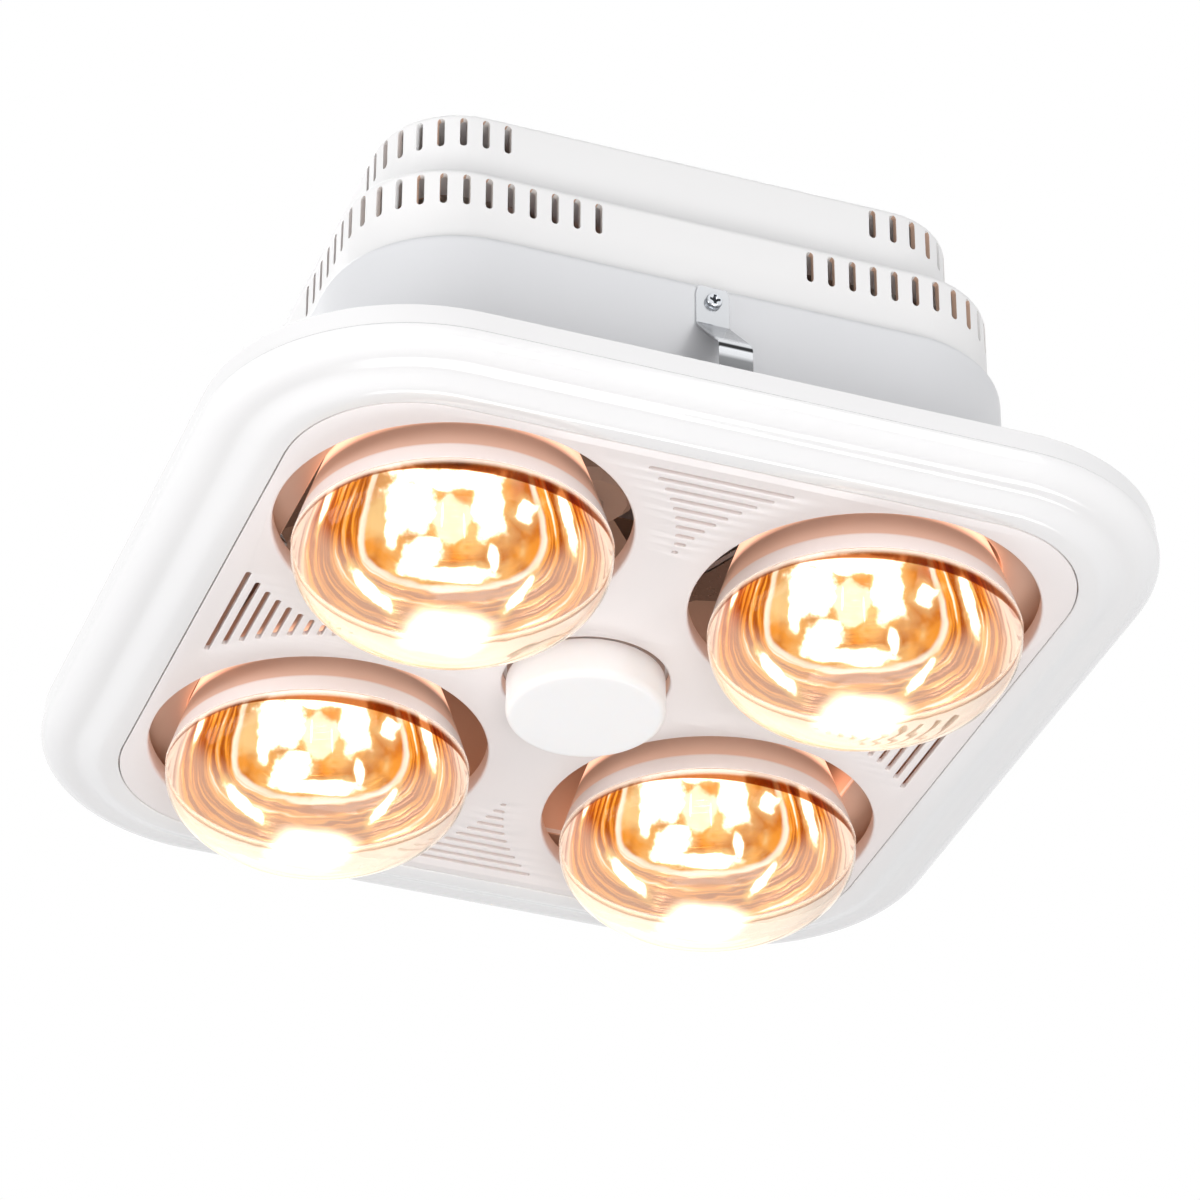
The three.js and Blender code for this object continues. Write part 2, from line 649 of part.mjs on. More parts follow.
function housing() {
  const inset = (tier, height, by = HOUSING_WALL) =>
    squareRing(tier.half - by, tier.corner - by, height);
  const [low, middle, high] = TIERS;
  const inner = [
    inset(high, HOUSING_CEILING),
    inset(high, middle.top - HOUSING_WALL),
    inset(middle, middle.top - HOUSING_WALL),
    inset(middle, low.top - HOUSING_WALL),
    inset(low, low.top - HOUSING_WALL),
    inset(low, FLANGE_UNDERSIDE),
  ];
  const outer = [
    squareRing(FLANGE_HALF, FLANGE_CORNER, FLANGE_UNDERSIDE),
    squareRing(FLANGE_HALF, FLANGE_CORNER, FLANGE_TOP),
    inset(low, FLANGE_TOP, 0),
  ];
  for (const tier of TIERS) {
    if (tier !== low) outer.push(inset(tier, TIERS[TIERS.indexOf(tier) - 1].top, 0));
    for (const degree of [0, 45, 90]) {
      const angle = THREE.MathUtils.degToRad(degree);
      outer.push(inset(
        tier,
        tier.top - TIER_ROUND * (1 - Math.sin(angle)),
        TIER_ROUND * (1 - Math.cos(angle)),
      ));
    }
  }
  const posts = fourfold(
    rod(POST_RADIUS, BRACKET_TOP + SEAT, HOUSING_CEILING + 1, POST_OFFSET, POST_OFFSET, 6),
  );
  const wall = low.half - HOUSING_WALL;
  const boss = new THREE.CylinderGeometry(CLIP_BOSS_RADIUS, CLIP_BOSS_RADIUS, CLIP_BOSS_DEPTH + 1, 6)
    .translate(0, wall - CLIP_BOSS_DEPTH / 2 + 0.5, clipScrewHeight);
  const bore = new THREE.CylinderGeometry(BORE, BORE, 3 * CLIP_BOSS_DEPTH, 6)
    .translate(0, wall, clipScrewHeight);
  const postBores = fourfold(
    rod(BORE, BRACKET_TOP, HOUSING_CEILING, POST_OFFSET, POST_OFFSET, 6),
  );
  const flangeBores = fourfold(
    rod(BORE, FLANGE_UNDERSIDE - 1, FLANGE_TOP + 1, bossPlace, bossPlace, 6),
  );
  const deckBossFloor = DECK_TOP + SEAT;
  const deckBosses = pair(rod(DECK_BOSS_RADIUS, deckBossFloor, deckBossFloor + DECK_BOSS_HEIGHT,
    deckScrewPlace, 0, 8));
  const deckBores = pair(
    rod(BORE, DECK_TOP, deckBossFloor + DECK_BOSS_HEIGHT - 2, deckScrewPlace, 0, 6),
  );
  const vents = [...cornerVents(MIDDLE_VENTS), ...cornerVents(HIGH_VENTS)].flatMap(fourfold);
  const wireHole = rod(WIRE_HOLE_RADIUS, HOUSING_CEILING - 1, HOUSING_TOP + 1, 0,
    BOX_PLACE - WIRE_HOLE_SHIFT, 12);
  return carve(
    ringBody([...inner, ...outer]),
    [...posts, ...deckBosses, ...pair(boss)],
    [...pair(bore), ...postBores, ...flangeBores, ...deckBores, ...vents, wireHole],
  );
}
piece('housing', housing(), HOUSING_WHITE);

// ---------------------------------------------------------------- heat deck and lamp bracket

function heatDeck() {
  const edge = HOUSING_WALL + DECK_GAP;
  const { half, corner } = TIERS[0];
  const plate = ringBody([
    squareRing(half - edge, corner - edge, DECK_UNDERSIDE),
    squareRing(half - edge, corner - edge, DECK_TOP),
  ]);
  const mouth = turnedRing([
    [ORIFICE_RADIUS + 3, DECK_UNDERSIDE], [ORIFICE_RADIUS + 3, DECK_TOP],
    [ORIFICE_RADIUS + SHEET, DECK_TOP + 1.5],
    [ORIFICE_RADIUS + SHEET, DECK_UNDERSIDE + ORIFICE_HEIGHT],
    [ORIFICE_RADIUS, DECK_UNDERSIDE + ORIFICE_HEIGHT], [ORIFICE_RADIUS, DECK_UNDERSIDE + 2],
  ], 24);
  const centreHole = rod(ORIFICE_RADIUS + 1.5, DECK_UNDERSIDE - 1, DECK_TOP + 1, 0, 0, 24);
  const neckHoles = LAMP_PLACES.map(([x, y]) =>
    rod(NECK_RADIUS + DECK_NECK_GAP, DECK_UNDERSIDE - 1, DECK_TOP + 1, x, y, 12));
  const bores = pair(rod(BORE, DECK_UNDERSIDE - 1, DECK_TOP + 1, deckScrewPlace, 0, 6));
  const drilled = carve(plate, [], [centreHole, ...neckHoles, ...bores]);
  return carve(drilled, [mouth]);
}
piece('heat_deck', heatDeck(), GALVANISED);

function lampBracket() {
  const reach = LAMP_OFFSET * Math.SQRT2;
  const width = BRACKET_ARM_WIDTH;
  const lipStart = BRACKET_HUB_RADIUS;
  const lipEnd = reach - HOLDER_RADIUS - 2;
  const lipLength = lipEnd - lipStart;
  const arm = [
    block(reach, width, SHEET, reach / 2, 0, BRACKET_UNDERSIDE),
    rod(width / 2, BRACKET_UNDERSIDE, BRACKET_TOP, reach, 0, 12),
    ...[-1, 1].map((side) => block(lipLength, SHEET, BRACKET_LIP, lipStart + lipLength / 2,
      (side * (width - SHEET)) / 2, BRACKET_TOP - BRACKET_LIP)),
  ].flatMap((item) => fourfold(item.rotateZ(Math.PI / 4)));
  const hub = rod(BRACKET_HUB_RADIUS, BRACKET_UNDERSIDE, BRACKET_TOP, 0, 0, 20);
  const bores = fourfold(
    rod(BORE, BRACKET_UNDERSIDE - 1, BRACKET_TOP + 1, POST_OFFSET, POST_OFFSET, 6),
  );
  return carve(hub, arm, bores);
}
piece('lamp_bracket', lampBracket(), GALVANISED);

// ---------------------------------------------------------------- heat lamps and lampholders

const neckRadius = acrossFlats(CAP_RADIUS - CAP_WALL, CAP_SIDES) - SEAT;

/** The envelope's outline from its tip up to the neck's end, drawn in by a wall. */
function envelopeOutline(wall, domeSteps, reflectorSteps) {
  const points = [];
  for (let i = 0; i <= domeSteps; i += 1) {
    const angle = (i / domeSteps) * (Math.PI / 2);
    const share = (value) => Math.abs(value) ** (2 / DOME_POWER);
    points.push([
      (LAMP_RADIUS - wall) * share(Math.sin(angle)) * (i > 0),
      LAMP_WIDEST - (DOME_DEPTH - wall) * share(Math.cos(angle)) * (i < domeSteps),
    ]);
  }
  for (let i = 1; i <= reflectorSteps; i += 1) {
    const height = LAMP_WIDEST + (REFLECTOR_LENGTH * i) / reflectorSteps;
    points.push([reflectorRadius(height) - wall, height]);
  }
  points.push(
    [neckRadius - wall, CAP_BOTTOM - 0.5],
    [neckRadius - wall, CAP_BOTTOM + CAP_LENGTH / 4],
  );
  return points;
}

const lampGlass = () => turned([
  ...envelopeOutline(0, 5, 4),
  ...envelopeOutline(GLASS_WALL, 2, 2).reverse(),
], GLASS_SIDES);

/** The screw cap: shell with rounded threads, insulator and centre contact. */
function lampCap() {
  const bore = CAP_RADIUS - CAP_WALL;
  const skirt = CAP_BOTTOM + CAP_LENGTH / 4 + SEAT;
  const threads = 2;
  const threadStart = CAP_BOTTOM + 5;
  const threadPitch = 5;
  const wave = Array.from({ length: threads * 2 + 1 }, (_, i) => [
    CAP_RADIUS - (i % 2 === 0 ? 0.9 : 0), threadStart + (i * threadPitch) / 2,
  ]);
  return turned([
    [0, skirt], [bore, skirt], [bore, CAP_BOTTOM], [CAP_RADIUS, CAP_BOTTOM],
    ...wave,
    [CONTACT_RADIUS + 3, CAP_TOP - 3], [CONTACT_RADIUS, CAP_TOP - 2], [CONTACT_RADIUS, CAP_TOP],
    [0, CAP_TOP],
  ], CAP_SIDES);
}

/** Stem, supports and the filament that hangs from them. */
function filamentMount() {
  const flareTop = CAP_BOTTOM + CAP_LENGTH / 4 - GLASS_WALL;
  const flareRadius = acrossFlats(neckRadius - GLASS_WALL, GLASS_SIDES) - SEAT;
  const stemBottom = CAP_BOTTOM - STEM_DROP;
  const filament = CAP_BOTTOM - FILAMENT_DROP;
  const stem = turned([
    [0, stemBottom], [4.5, stemBottom], [3.4, stemBottom + 5], [3.4, flareTop - STEM_FLARE],
    [flareRadius, flareTop - 1.5], [flareRadius, flareTop], [0, flareTop],
  ], 6);
  const supports = [0, Math.PI].map((turn) => bar([
    new THREE.Vector3(2, 0, stemBottom + 3),
    new THREE.Vector3(FILAMENT_RADIUS * 0.6, 0, (stemBottom + filament) / 2),
    new THREE.Vector3(FILAMENT_RADIUS, 0, filament),
  ], SUPPORT_RADIUS, 2, 3).rotateZ(turn));
  const coil = new THREE.TorusGeometry(FILAMENT_RADIUS, SUPPORT_RADIUS * 1.3, 4, 8)
    .translate(0, 0, filament);
  return carve(stem, [...supports, coil]);
}

/** The porcelain lampholder: a stepped body with the bore that takes the cap. */
function lampholder() {
  const bore = CAP_RADIUS + SEAT;
  const mouth = CAP_BOTTOM - HOLDER_LIP;
  const bottomOfBore = CAP_TOP + SEAT;
  const top = BRACKET_UNDERSIDE - SEAT;
  const step = bottomOfBore + HOLDER_FLOOR;
  return turned([
    [0, bottomOfBore], [bore, bottomOfBore], [bore, mouth], [HOLDER_RADIUS - 1.5, mouth],
    [HOLDER_RADIUS, mouth + 2], [HOLDER_RADIUS, step - 2], [HOLDER_WALL_TOP, step],
    [HOLDER_WALL_TOP, top], [0, top],
  ], CAP_SIDES);
}

LAMP_PLACES.forEach(([x, y], i) => {
  const lamp = new THREE.Group();
  lamp.position.set(x, y, 0);
  assembly.add(lamp);
  piece(`lamp_glass_${i + 1}`, lampGlass(), LAMP_GLASS, lamp);
  piece(`lamp_cap_${i + 1}`, lampCap(), CAP_METAL, lamp);
  piece(`filament_mount_${i + 1}`, filamentMount(), TUNGSTEN, lamp);
  piece(`lampholder_${i + 1}`, lampholder(), PORCELAIN, lamp);
});

// ---------------------------------------------------------------- fan motor and impeller

const bearingOuter = BEARING_RADIUS + SEAT;
const upperBearingTop = MOTOR_TOP - MOTOR_WALL - 3;
const lowerBearingBottom = END_CAP_BOTTOM + 2;

function motorCase() {
  const inner = MOTOR_RADIUS - MOTOR_WALL;
  const roof = MOTOR_TOP - MOTOR_WALL;
  const seatBottom = upperBearingTop - BEARING_WIDTH;
  return turned([
    [0, MOTOR_TOP], [MOTOR_RADIUS - 3, MOTOR_TOP], [MOTOR_RADIUS, MOTOR_TOP - 3],
    [MOTOR_RADIUS, MOTOR_BOTTOM], [inner, MOTOR_BOTTOM], [inner, roof],
    [bearingOuter + BEARING_SEAT_WALL, roof], [bearingOuter + BEARING_SEAT_WALL, seatBottom],
    [bearingOuter, seatBottom], [bearingOuter, upperBearingTop + SEAT],
    [0, upperBearingTop + SEAT],
  ], MOTOR_SIDES);
}
piece('motor_case', motorCase(), GALVANISED);

function motorEndCap() {
  const shaftHole = SHAFT_RADIUS + AIR_GAP;
  const seatTop = lowerBearingBottom + BEARING_WIDTH;
  return turnedRing([
    [shaftHole, END_CAP_BOTTOM], [MOTOR_RADIUS - 2, END_CAP_BOTTOM],
    [MOTOR_RADIUS, END_CAP_BOTTOM + 1.5], [MOTOR_RADIUS, END_CAP_TOP],
    [bearingOuter + BEARING_SEAT_WALL, END_CAP_TOP], [bearingOuter + BEARING_SEAT_WALL, seatTop],
    [bearingOuter, seatTop], [bearingOuter, lowerBearingBottom - SEAT],
    [shaftHole, lowerBearingBottom - SEAT],
  ], MOTOR_SIDES);
}
piece('motor_end_cap', motorEndCap(), GALVANISED);

/** A bearing ring between the shaft and its seat. */
const bearing = (bottom) => turnedRing([
  [SHAFT_RADIUS + SEAT, bottom], [BEARING_RADIUS, bottom],
  [BEARING_RADIUS, bottom + BEARING_WIDTH], [SHAFT_RADIUS + SEAT, bottom + BEARING_WIDTH],
], MOTOR_SIDES);
piece('bearing_upper', bearing(upperBearingTop - BEARING_WIDTH), STEEL);
piece('bearing_lower', bearing(lowerBearingBottom), STEEL);

const statorBottom = (upperBearingTop + lowerBearingBottom - STATOR_HEIGHT) / 2;
const statorTop = statorBottom + STATOR_HEIGHT;

/** The stator: a laminated ring with four rounded winding heads on each face. */
function stator() {
  const outer = MOTOR_RADIUS - MOTOR_WALL - SEAT;
  const ring = turnedRing([
    [STATOR_INNER, statorBottom], [outer, statorBottom], [outer, statorTop],
    [STATOR_INNER, statorTop],
  ], MOTOR_SIDES);
  const depth = outer - STATOR_INNER;
  const winding = block(depth * 0.52, depth * 1.4, STATOR_HEIGHT + 6, STATOR_INNER + depth / 2, 0,
    statorBottom - 3);
  return carve(ring, fourfold(winding));
}
piece('stator', stator(), COPPER);

const shaftTop = upperBearingTop - 0.5;
const shaftBottom = END_CAP_BOTTOM - SHAFT_DROP;

/** Shaft and rotor core, in one turned piece. */
function rotor() {
  const core = acrossFlats(STATOR_INNER, MOTOR_SIDES) - AIR_GAP;
  return turned([
    [0, shaftBottom], [SHAFT_RADIUS - 0.8, shaftBottom], [SHAFT_RADIUS, shaftBottom + 1],
    [SHAFT_RADIUS, statorBottom], [core, statorBottom], [core, statorTop],
    [SHAFT_RADIUS, statorTop], [SHAFT_RADIUS, shaftTop], [0, shaftTop],
  ], MOTOR_SIDES);
}
piece('rotor_shaft', rotor(), STEEL);

const bladeTip = ORIFICE_RADIUS - BLADE_TIP_GAP;
const hubBottom = shaftBottom + NUT_HEIGHT + SEAT + 1;
const hubTop = hubBottom + HUB_HEIGHT;

/** One twisted blade as a loft of thin sections along its radius. */
function blade() {
  const stations = 4;
  const root = HUB_RADIUS - HUB_WALL / 2;
  const rings = Array.from({ length: stations }, (_, i) => {
    const share = i / (stations - 1);
    const radius = root + (bladeTip - root) * share;
    const chord = 24 + 18 * share;
    const pitch = THREE.MathUtils.degToRad(42 - 20 * share);
    const section = [[-0.5, 0], [0, -0.5], [0.5, 0], [0, 0.5]];
    return section.map(([along, across]) => {
      const camber = chord * 0.06 * (1 - 4 * along * along);
      const u = along * chord;
      const v = across * BLADE_THICKNESS + camber;
      const tangential = u * Math.cos(pitch) - v * Math.sin(pitch);
      const height = u * Math.sin(pitch) + v * Math.cos(pitch);
      const swept = tangential / radius;
      return new THREE.Vector3(
        radius * Math.cos(swept), radius * Math.sin(swept), hubBottom + HUB_HEIGHT / 2 + height,
      );
    });
  });
  return ringBody(rings);
}

function impeller() {
  const bore = SHAFT_RADIUS + SEAT;
  const floor = hubBottom + HUB_WALL;
  const sleeve = bore + HUB_WALL;
  const hub = turnedRing([
    [bore, hubBottom], [HUB_RADIUS - 4, hubBottom], [HUB_RADIUS, hubBottom + 4],
    [HUB_RADIUS, hubTop], [HUB_RADIUS - HUB_WALL, hubTop], [HUB_RADIUS - HUB_WALL, floor + 2],
    [sleeve, floor], [sleeve, hubTop - 4], [bore, hubTop - 4],
  ], MOTOR_SIDES);
  const first = blade();
  const blades = Array.from({ length: BLADE_COUNT }, (_, i) =>
    first.clone().rotateZ((i * 2 * Math.PI) / BLADE_COUNT));
  const inside = turned([
    [0, floor + 2.5], [HUB_RADIUS - HUB_WALL, floor + 2.5],
    [HUB_RADIUS - HUB_WALL, hubTop + 1], [0, hubTop + 1],
  ], MOTOR_SIDES);
  const trimmed = geometryOf(blades.map(solid).reduce((all, one) => all.add(one))
    .subtract(solid(inside)));
  return carve(hub, [trimmed]);
}
piece('impeller', impeller(), FAN_PLASTIC);

/** The nut that holds the impeller on the shaft's end. */
function impellerNut() {
  const top = hubBottom - SEAT;
  const hexagon = rod(NUT_RADIUS, top - NUT_HEIGHT, top, 0, 0, 6);
  const bore = rod(SHAFT_RADIUS + SEAT, top - NUT_HEIGHT - 1, top + 1, 0, 0, MOTOR_SIDES);
  return carve(hexagon, [], [bore]);
}
piece('impeller_nut', impellerNut(), ZINC);

// ---------------------------------------------------------------- centre light

const coverFace = PANEL_FACE - LIGHT_DROP;
const coverTop = coverFace + COVER_HEIGHT;
const boardFace = coverTop - 4;
const sinkUnderside = PANEL_FACE + COLLAR_HEIGHT + SEAT;
const plugRadius = LIGHT_RADIUS - COVER_WALL - SEAT;
const sinkFlangeRadius = LIGHT_HOLE_RADIUS + SINK_FLANGE_WIDTH;

/** The opal cover: a shallow cup with a rounded edge. */
function lightCover() {
  const edge = arc(LIGHT_RADIUS - LIGHT_EDGE, coverFace + LIGHT_EDGE, LIGHT_EDGE, -90, 0, 2);
  return turned([
    [0, coverFace], ...edge, [LIGHT_RADIUS, coverTop], [LIGHT_RADIUS - COVER_WALL, coverTop],
    [LIGHT_RADIUS - COVER_WALL, coverFace + LIGHT_EDGE],
    [LIGHT_RADIUS - LIGHT_EDGE, coverFace + COVER_WALL], [0, coverFace + COVER_WALL],
  ], LIGHT_SIDES);
}
piece('light_cover', lightCover(), OPAL);

/** The heat sink: plug that carries board and cover, flange on the collar, fins above. */
function lightSink() {
  const plugBottom = boardFace + BOARD_THICKNESS + SEAT;
  const flangeTop = sinkUnderside + SINK_FLANGE_THICKNESS;
  const stop = coverTop + SEAT;
  const body = turned([
    [0, plugBottom], [plugRadius, plugBottom], [plugRadius, stop], [LIGHT_RADIUS, stop],
    [LIGHT_RADIUS, sinkUnderside], [sinkFlangeRadius, sinkUnderside],
    [sinkFlangeRadius, flangeTop], [0, flangeTop],
  ], LIGHT_SIDES);
  const pitch = (2 * (sinkFlangeRadius - 8)) / (SINK_FIN_COUNT - 1);
  const fins = Array.from({ length: SINK_FIN_COUNT }, (_, i) => {
    const place = (i - (SINK_FIN_COUNT - 1) / 2) * pitch;
    const length = 2 * Math.sqrt((sinkFlangeRadius - 3) ** 2 - place ** 2);
    return block(SINK_FIN_THICKNESS, length, SINK_FIN_HEIGHT + 1, place, 0, flangeTop - 1);
  });
  return carve(body, fins);
}
piece('light_heat_sink', lightSink(), ALUMINIUM);

function ledBoard() {
  const plate = rod(plugRadius, boardFace, boardFace + BOARD_THICKNESS, 0, 0, LIGHT_SIDES);
  const chips = Array.from({ length: CHIP_COUNT }, (_, i) =>
    block(CHIP_SIZE, CHIP_SIZE, 1.6, CHIP_RADIUS, 0, boardFace - 0.8)
      .rotateZ((i * 2 * Math.PI) / CHIP_COUNT));
  return carve(plate, chips);
}
piece('led_board', ledBoard(), CIRCUIT_WHITE);

// ---------------------------------------------------------------- spring clips

const clipWall = TIERS[0].half;
const clipTop = LOW_TOP - CLIP_TOP_DROP;
const clipBend = clipTop - CLIP_PLATE_HEIGHT;

/** The arm's path, as [distance from the wall, height]. */
function clipPath() {
  const middle = SEAT + CLIP_THICKNESS / 2;
  const bend = 6;
  const footHeight = CLIP_FOOT + CLIP_THICKNESS / 2 + CLIP_FOOT_RADIUS;
  return [
    [middle + 0.1, clipBend - SEAT - 0.2],
    [middle + 0.9, clipBend - SEAT - 1.4],
    ...arc(CLIP_REACH - bend, CLIP_SLANT_END - bend, bend, 50, 0, 4),
    ...arc(CLIP_REACH - CLIP_FOOT_RADIUS, footHeight, CLIP_FOOT_RADIUS, 0, -170, 6),
  ];
}

function clipPlate() {
  const across = clipWall + SEAT + CLIP_THICKNESS / 2;
  const plate = block(CLIP_WIDTH, CLIP_THICKNESS, CLIP_PLATE_HEIGHT, 0, across, clipBend);
  const hole = new THREE.CylinderGeometry(BORE, BORE, CLIP_THICKNESS * 4, 8)
    .translate(0, across, clipScrewHeight);
  return carve(plate, [], [hole]);
}

const clipArm = () => strip(
  clipPath().map(([out, height]) => [clipWall + out, height]), CLIP_THICKNESS, CLIP_WIDTH,
);

const clipScrew = () => screw(CLIP_THICKNESS + HOUSING_WALL + CLIP_BOSS_DEPTH - 1)
  .rotateX(Math.PI / 2)
  .translate(0, clipWall + SEAT + CLIP_THICKNESS + SEAT, clipScrewHeight);

[['near', Math.PI], ['far', 0]].forEach(([side, turn]) => {
  const clip = new THREE.Group();
  clip.rotation.z = turn;
  assembly.add(clip);
  piece(`clip_plate_${side}`, clipPlate(), ZINC, clip);
  piece(`clip_arm_${side}`, clipArm(), ZINC, clip);
  piece(`clip_screw_${side}`, clipScrew(), ZINC, clip);
});

// ---------------------------------------------------------------- screws of deck, bracket, fascia

/** Adds equal screws by name and number. */
const screwSet = (name, shapes) =>
  shapes.forEach((shape, i) => piece(`${name}_${i + 1}`, shape, ZINC));

screwSet('deck_screw', pair(hexScrew(SHEET + 2 * SEAT + DECK_SCREW_GRIP)
  .translate(deckScrewPlace, 0, DECK_UNDERSIDE - SEAT)));
screwSet('bracket_screw', fourfold(hexScrew(SHEET + 2 * SEAT + BRACKET_SCREW_GRIP)
  .translate(POST_OFFSET, POST_OFFSET, BRACKET_UNDERSIDE - SEAT)));
screwSet('fascia_screw', fourfold(hexScrew(FASCIA_SCREW_LENGTH).rotateX(Math.PI)
  .translate(bossPlace, bossPlace, FLANGE_TOP + SEAT)));

// ---------------------------------------------------------------- supply box, control gear, cut-out

const boxFloor = HOUSING_TOP + SEAT;
const glandHeight = boxFloor + BOX_HEIGHT / 2;
const boxSide = BOX_PLACE + BOX_WIDTH / 2;

function supplyCover() {
  const outer = block(BOX_LENGTH, BOX_WIDTH, BOX_HEIGHT, 0, BOX_PLACE, boxFloor);
  const inner = block(BOX_LENGTH - 2 * BOX_WALL, BOX_WIDTH - 2 * BOX_WALL, BOX_HEIGHT, 0,
    BOX_PLACE, boxFloor - BOX_WALL);
  const hole = new THREE.CylinderGeometry(GLAND_RADIUS - 2 + SEAT, GLAND_RADIUS - 2 + SEAT, 10, 12)
    .translate(0, boxSide, glandHeight);
  const edge = BOX_LENGTH / 2;
  const trims = [-1, 1].map((side) => new THREE.BoxGeometry(6, BOX_WIDTH * 2, 6)
    .rotateY(Math.PI / 4)
    .translate(side * edge, BOX_PLACE, boxFloor + BOX_HEIGHT));
  return carve(outer, [], [inner, hole, ...trims]);
}
piece('supply_cover', supplyCover(), DARK_PLASTIC);

/** The cable gland: spigot through the cover's wall, collar and clamping nut outside. */
function cableGland() {
  const spigot = GLAND_RADIUS - 2;
  const wallInner = boxSide - BOX_WALL;
  const outside = boxSide + SEAT;
  const profile = [
    [GLAND_BORE, wallInner - 2], [spigot, wallInner - 2], [spigot, outside],
    [GLAND_RADIUS + 1, outside], [GLAND_RADIUS + 1, outside + GLAND_COLLAR],
    [GLAND_RADIUS, outside + GLAND_COLLAR + 0.5], [GLAND_RADIUS - 1, outside + GLAND_LENGTH - 3],
    [GLAND_RADIUS - 3, outside + GLAND_LENGTH], [GLAND_BORE, outside + GLAND_LENGTH],
  ];
  return turnedRing(profile, 12).rotateX(-Math.PI / 2).translate(0, 0, glandHeight);
}
piece('cable_gland', cableGland(), GREY_PLASTIC);

const blockPlace = BOX_PLACE + BLOCK_SHIFT;

function terminalBlock() {
  const body = block(BLOCK_LENGTH, BLOCK_WIDTH, BLOCK_HEIGHT, 0, blockPlace, boxFloor);
  const pitch = BLOCK_LENGTH / BLOCK_POLES;
  const cuts = [];
  for (let i = 0; i < BLOCK_POLES; i += 1) {
    const x = (i - (BLOCK_POLES - 1) / 2) * pitch;
    for (const side of [-1, 1]) {
      cuts.push(rod(2.4, boxFloor + BLOCK_HEIGHT - 4, boxFloor + BLOCK_HEIGHT + 1, x,
        blockPlace + side * 4.5, 4));
    }
    cuts.push(block(pitch * 0.18, BLOCK_WIDTH + 2, 5, x + pitch / 2, blockPlace,
      boxFloor + BLOCK_HEIGHT - 4));
  }
  return carve(body, [], cuts.slice(0, -1));
}
piece('terminal_block', terminalBlock(), GREY_PLASTIC);

/** A piece of control gear that stands on the deck. */
const gear = ([sizeX, sizeY, sizeZ], y) => block(sizeX, sizeY, sizeZ, 0, y, DECK_TOP + SEAT);
piece('light_driver', gear(DRIVER_SIZE, middleHalf - GEAR_INSET), OPAL);
piece('run_capacitor', gear(CAPACITOR_SIZE, GEAR_INSET - middleHalf), DARK_PLASTIC);

const thermalCutout = () => turned([
  [0, BRACKET_TOP + SEAT], [CUTOUT_RADIUS, BRACKET_TOP + SEAT],
  [CUTOUT_RADIUS, BRACKET_TOP + SEAT + CUTOUT_HEIGHT * 0.6],
  [CUTOUT_RADIUS * 0.7, BRACKET_TOP + SEAT + CUTOUT_HEIGHT],
  [0, BRACKET_TOP + SEAT + CUTOUT_HEIGHT],
], 12).translate(CUTOUT_OFFSET, -CUTOUT_OFFSET, 0);
piece('thermal_cut_out', thermalCutout(), STEEL);

export default assembly;
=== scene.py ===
"""Looks of a ceiling mounted heater: four reflector heat lamps, a centre light and an exhaust fan.

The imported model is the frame: sizes here are in millimetres and MM turns them into metres, +Z is up
and the origin is the centre of the ceiling plane. Colours are linear and angles are in degrees.
Each sub-assembly is a class that holds its sizes, builds its meshes and dresses them.
"""
import json
import logging
import math
from dataclasses import dataclass, field
from enum import Enum
from functools import reduce

import bmesh
import bpy
from mathutils import Matrix, Vector


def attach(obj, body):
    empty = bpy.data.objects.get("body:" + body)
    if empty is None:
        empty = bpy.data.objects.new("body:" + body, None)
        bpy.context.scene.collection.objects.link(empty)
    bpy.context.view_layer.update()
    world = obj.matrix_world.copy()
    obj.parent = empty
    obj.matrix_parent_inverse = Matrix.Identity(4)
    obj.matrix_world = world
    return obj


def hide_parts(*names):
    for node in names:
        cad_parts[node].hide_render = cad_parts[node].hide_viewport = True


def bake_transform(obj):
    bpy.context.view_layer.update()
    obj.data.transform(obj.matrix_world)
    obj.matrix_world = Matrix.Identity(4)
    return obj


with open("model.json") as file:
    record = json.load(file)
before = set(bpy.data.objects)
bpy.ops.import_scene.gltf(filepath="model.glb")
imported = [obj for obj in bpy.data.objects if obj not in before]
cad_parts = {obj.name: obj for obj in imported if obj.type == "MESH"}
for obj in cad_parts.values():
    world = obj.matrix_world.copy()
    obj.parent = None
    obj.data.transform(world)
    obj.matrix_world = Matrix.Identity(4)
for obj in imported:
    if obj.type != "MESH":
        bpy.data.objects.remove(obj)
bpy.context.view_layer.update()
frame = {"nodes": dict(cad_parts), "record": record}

LOG = logging.getLogger("heater")
MM = 0.001
WELD = 1e-6
SLIVER = 1e-7
UNIT = "unit"

Colour = tuple[float, float, float]
Point = tuple[float, float, float]
Triple = tuple[float, float, float]
Spot = tuple[float, float]
Profile = list[Spot]
Ring = list[Point]
Skin = tuple[list[Point], list[tuple[int, ...]]]

BLACK: Colour = (0.0, 0.0, 0.0)
WHITE: Colour = (1.0, 1.0, 1.0)


class Side(Enum):
    """The two walls that carry a spring clip."""

    NEAR = -1
    FAR = 1


class Grain(Enum):
    """How a surface's fine relief runs."""

    EVEN = (1.0, 1.0, 1.0)
    ROLLED = (0.12, 1.0, 1.0)
    DRAWN = (1.0, 1.0, 0.08)


# ------------------------------------------------------------------ node trees


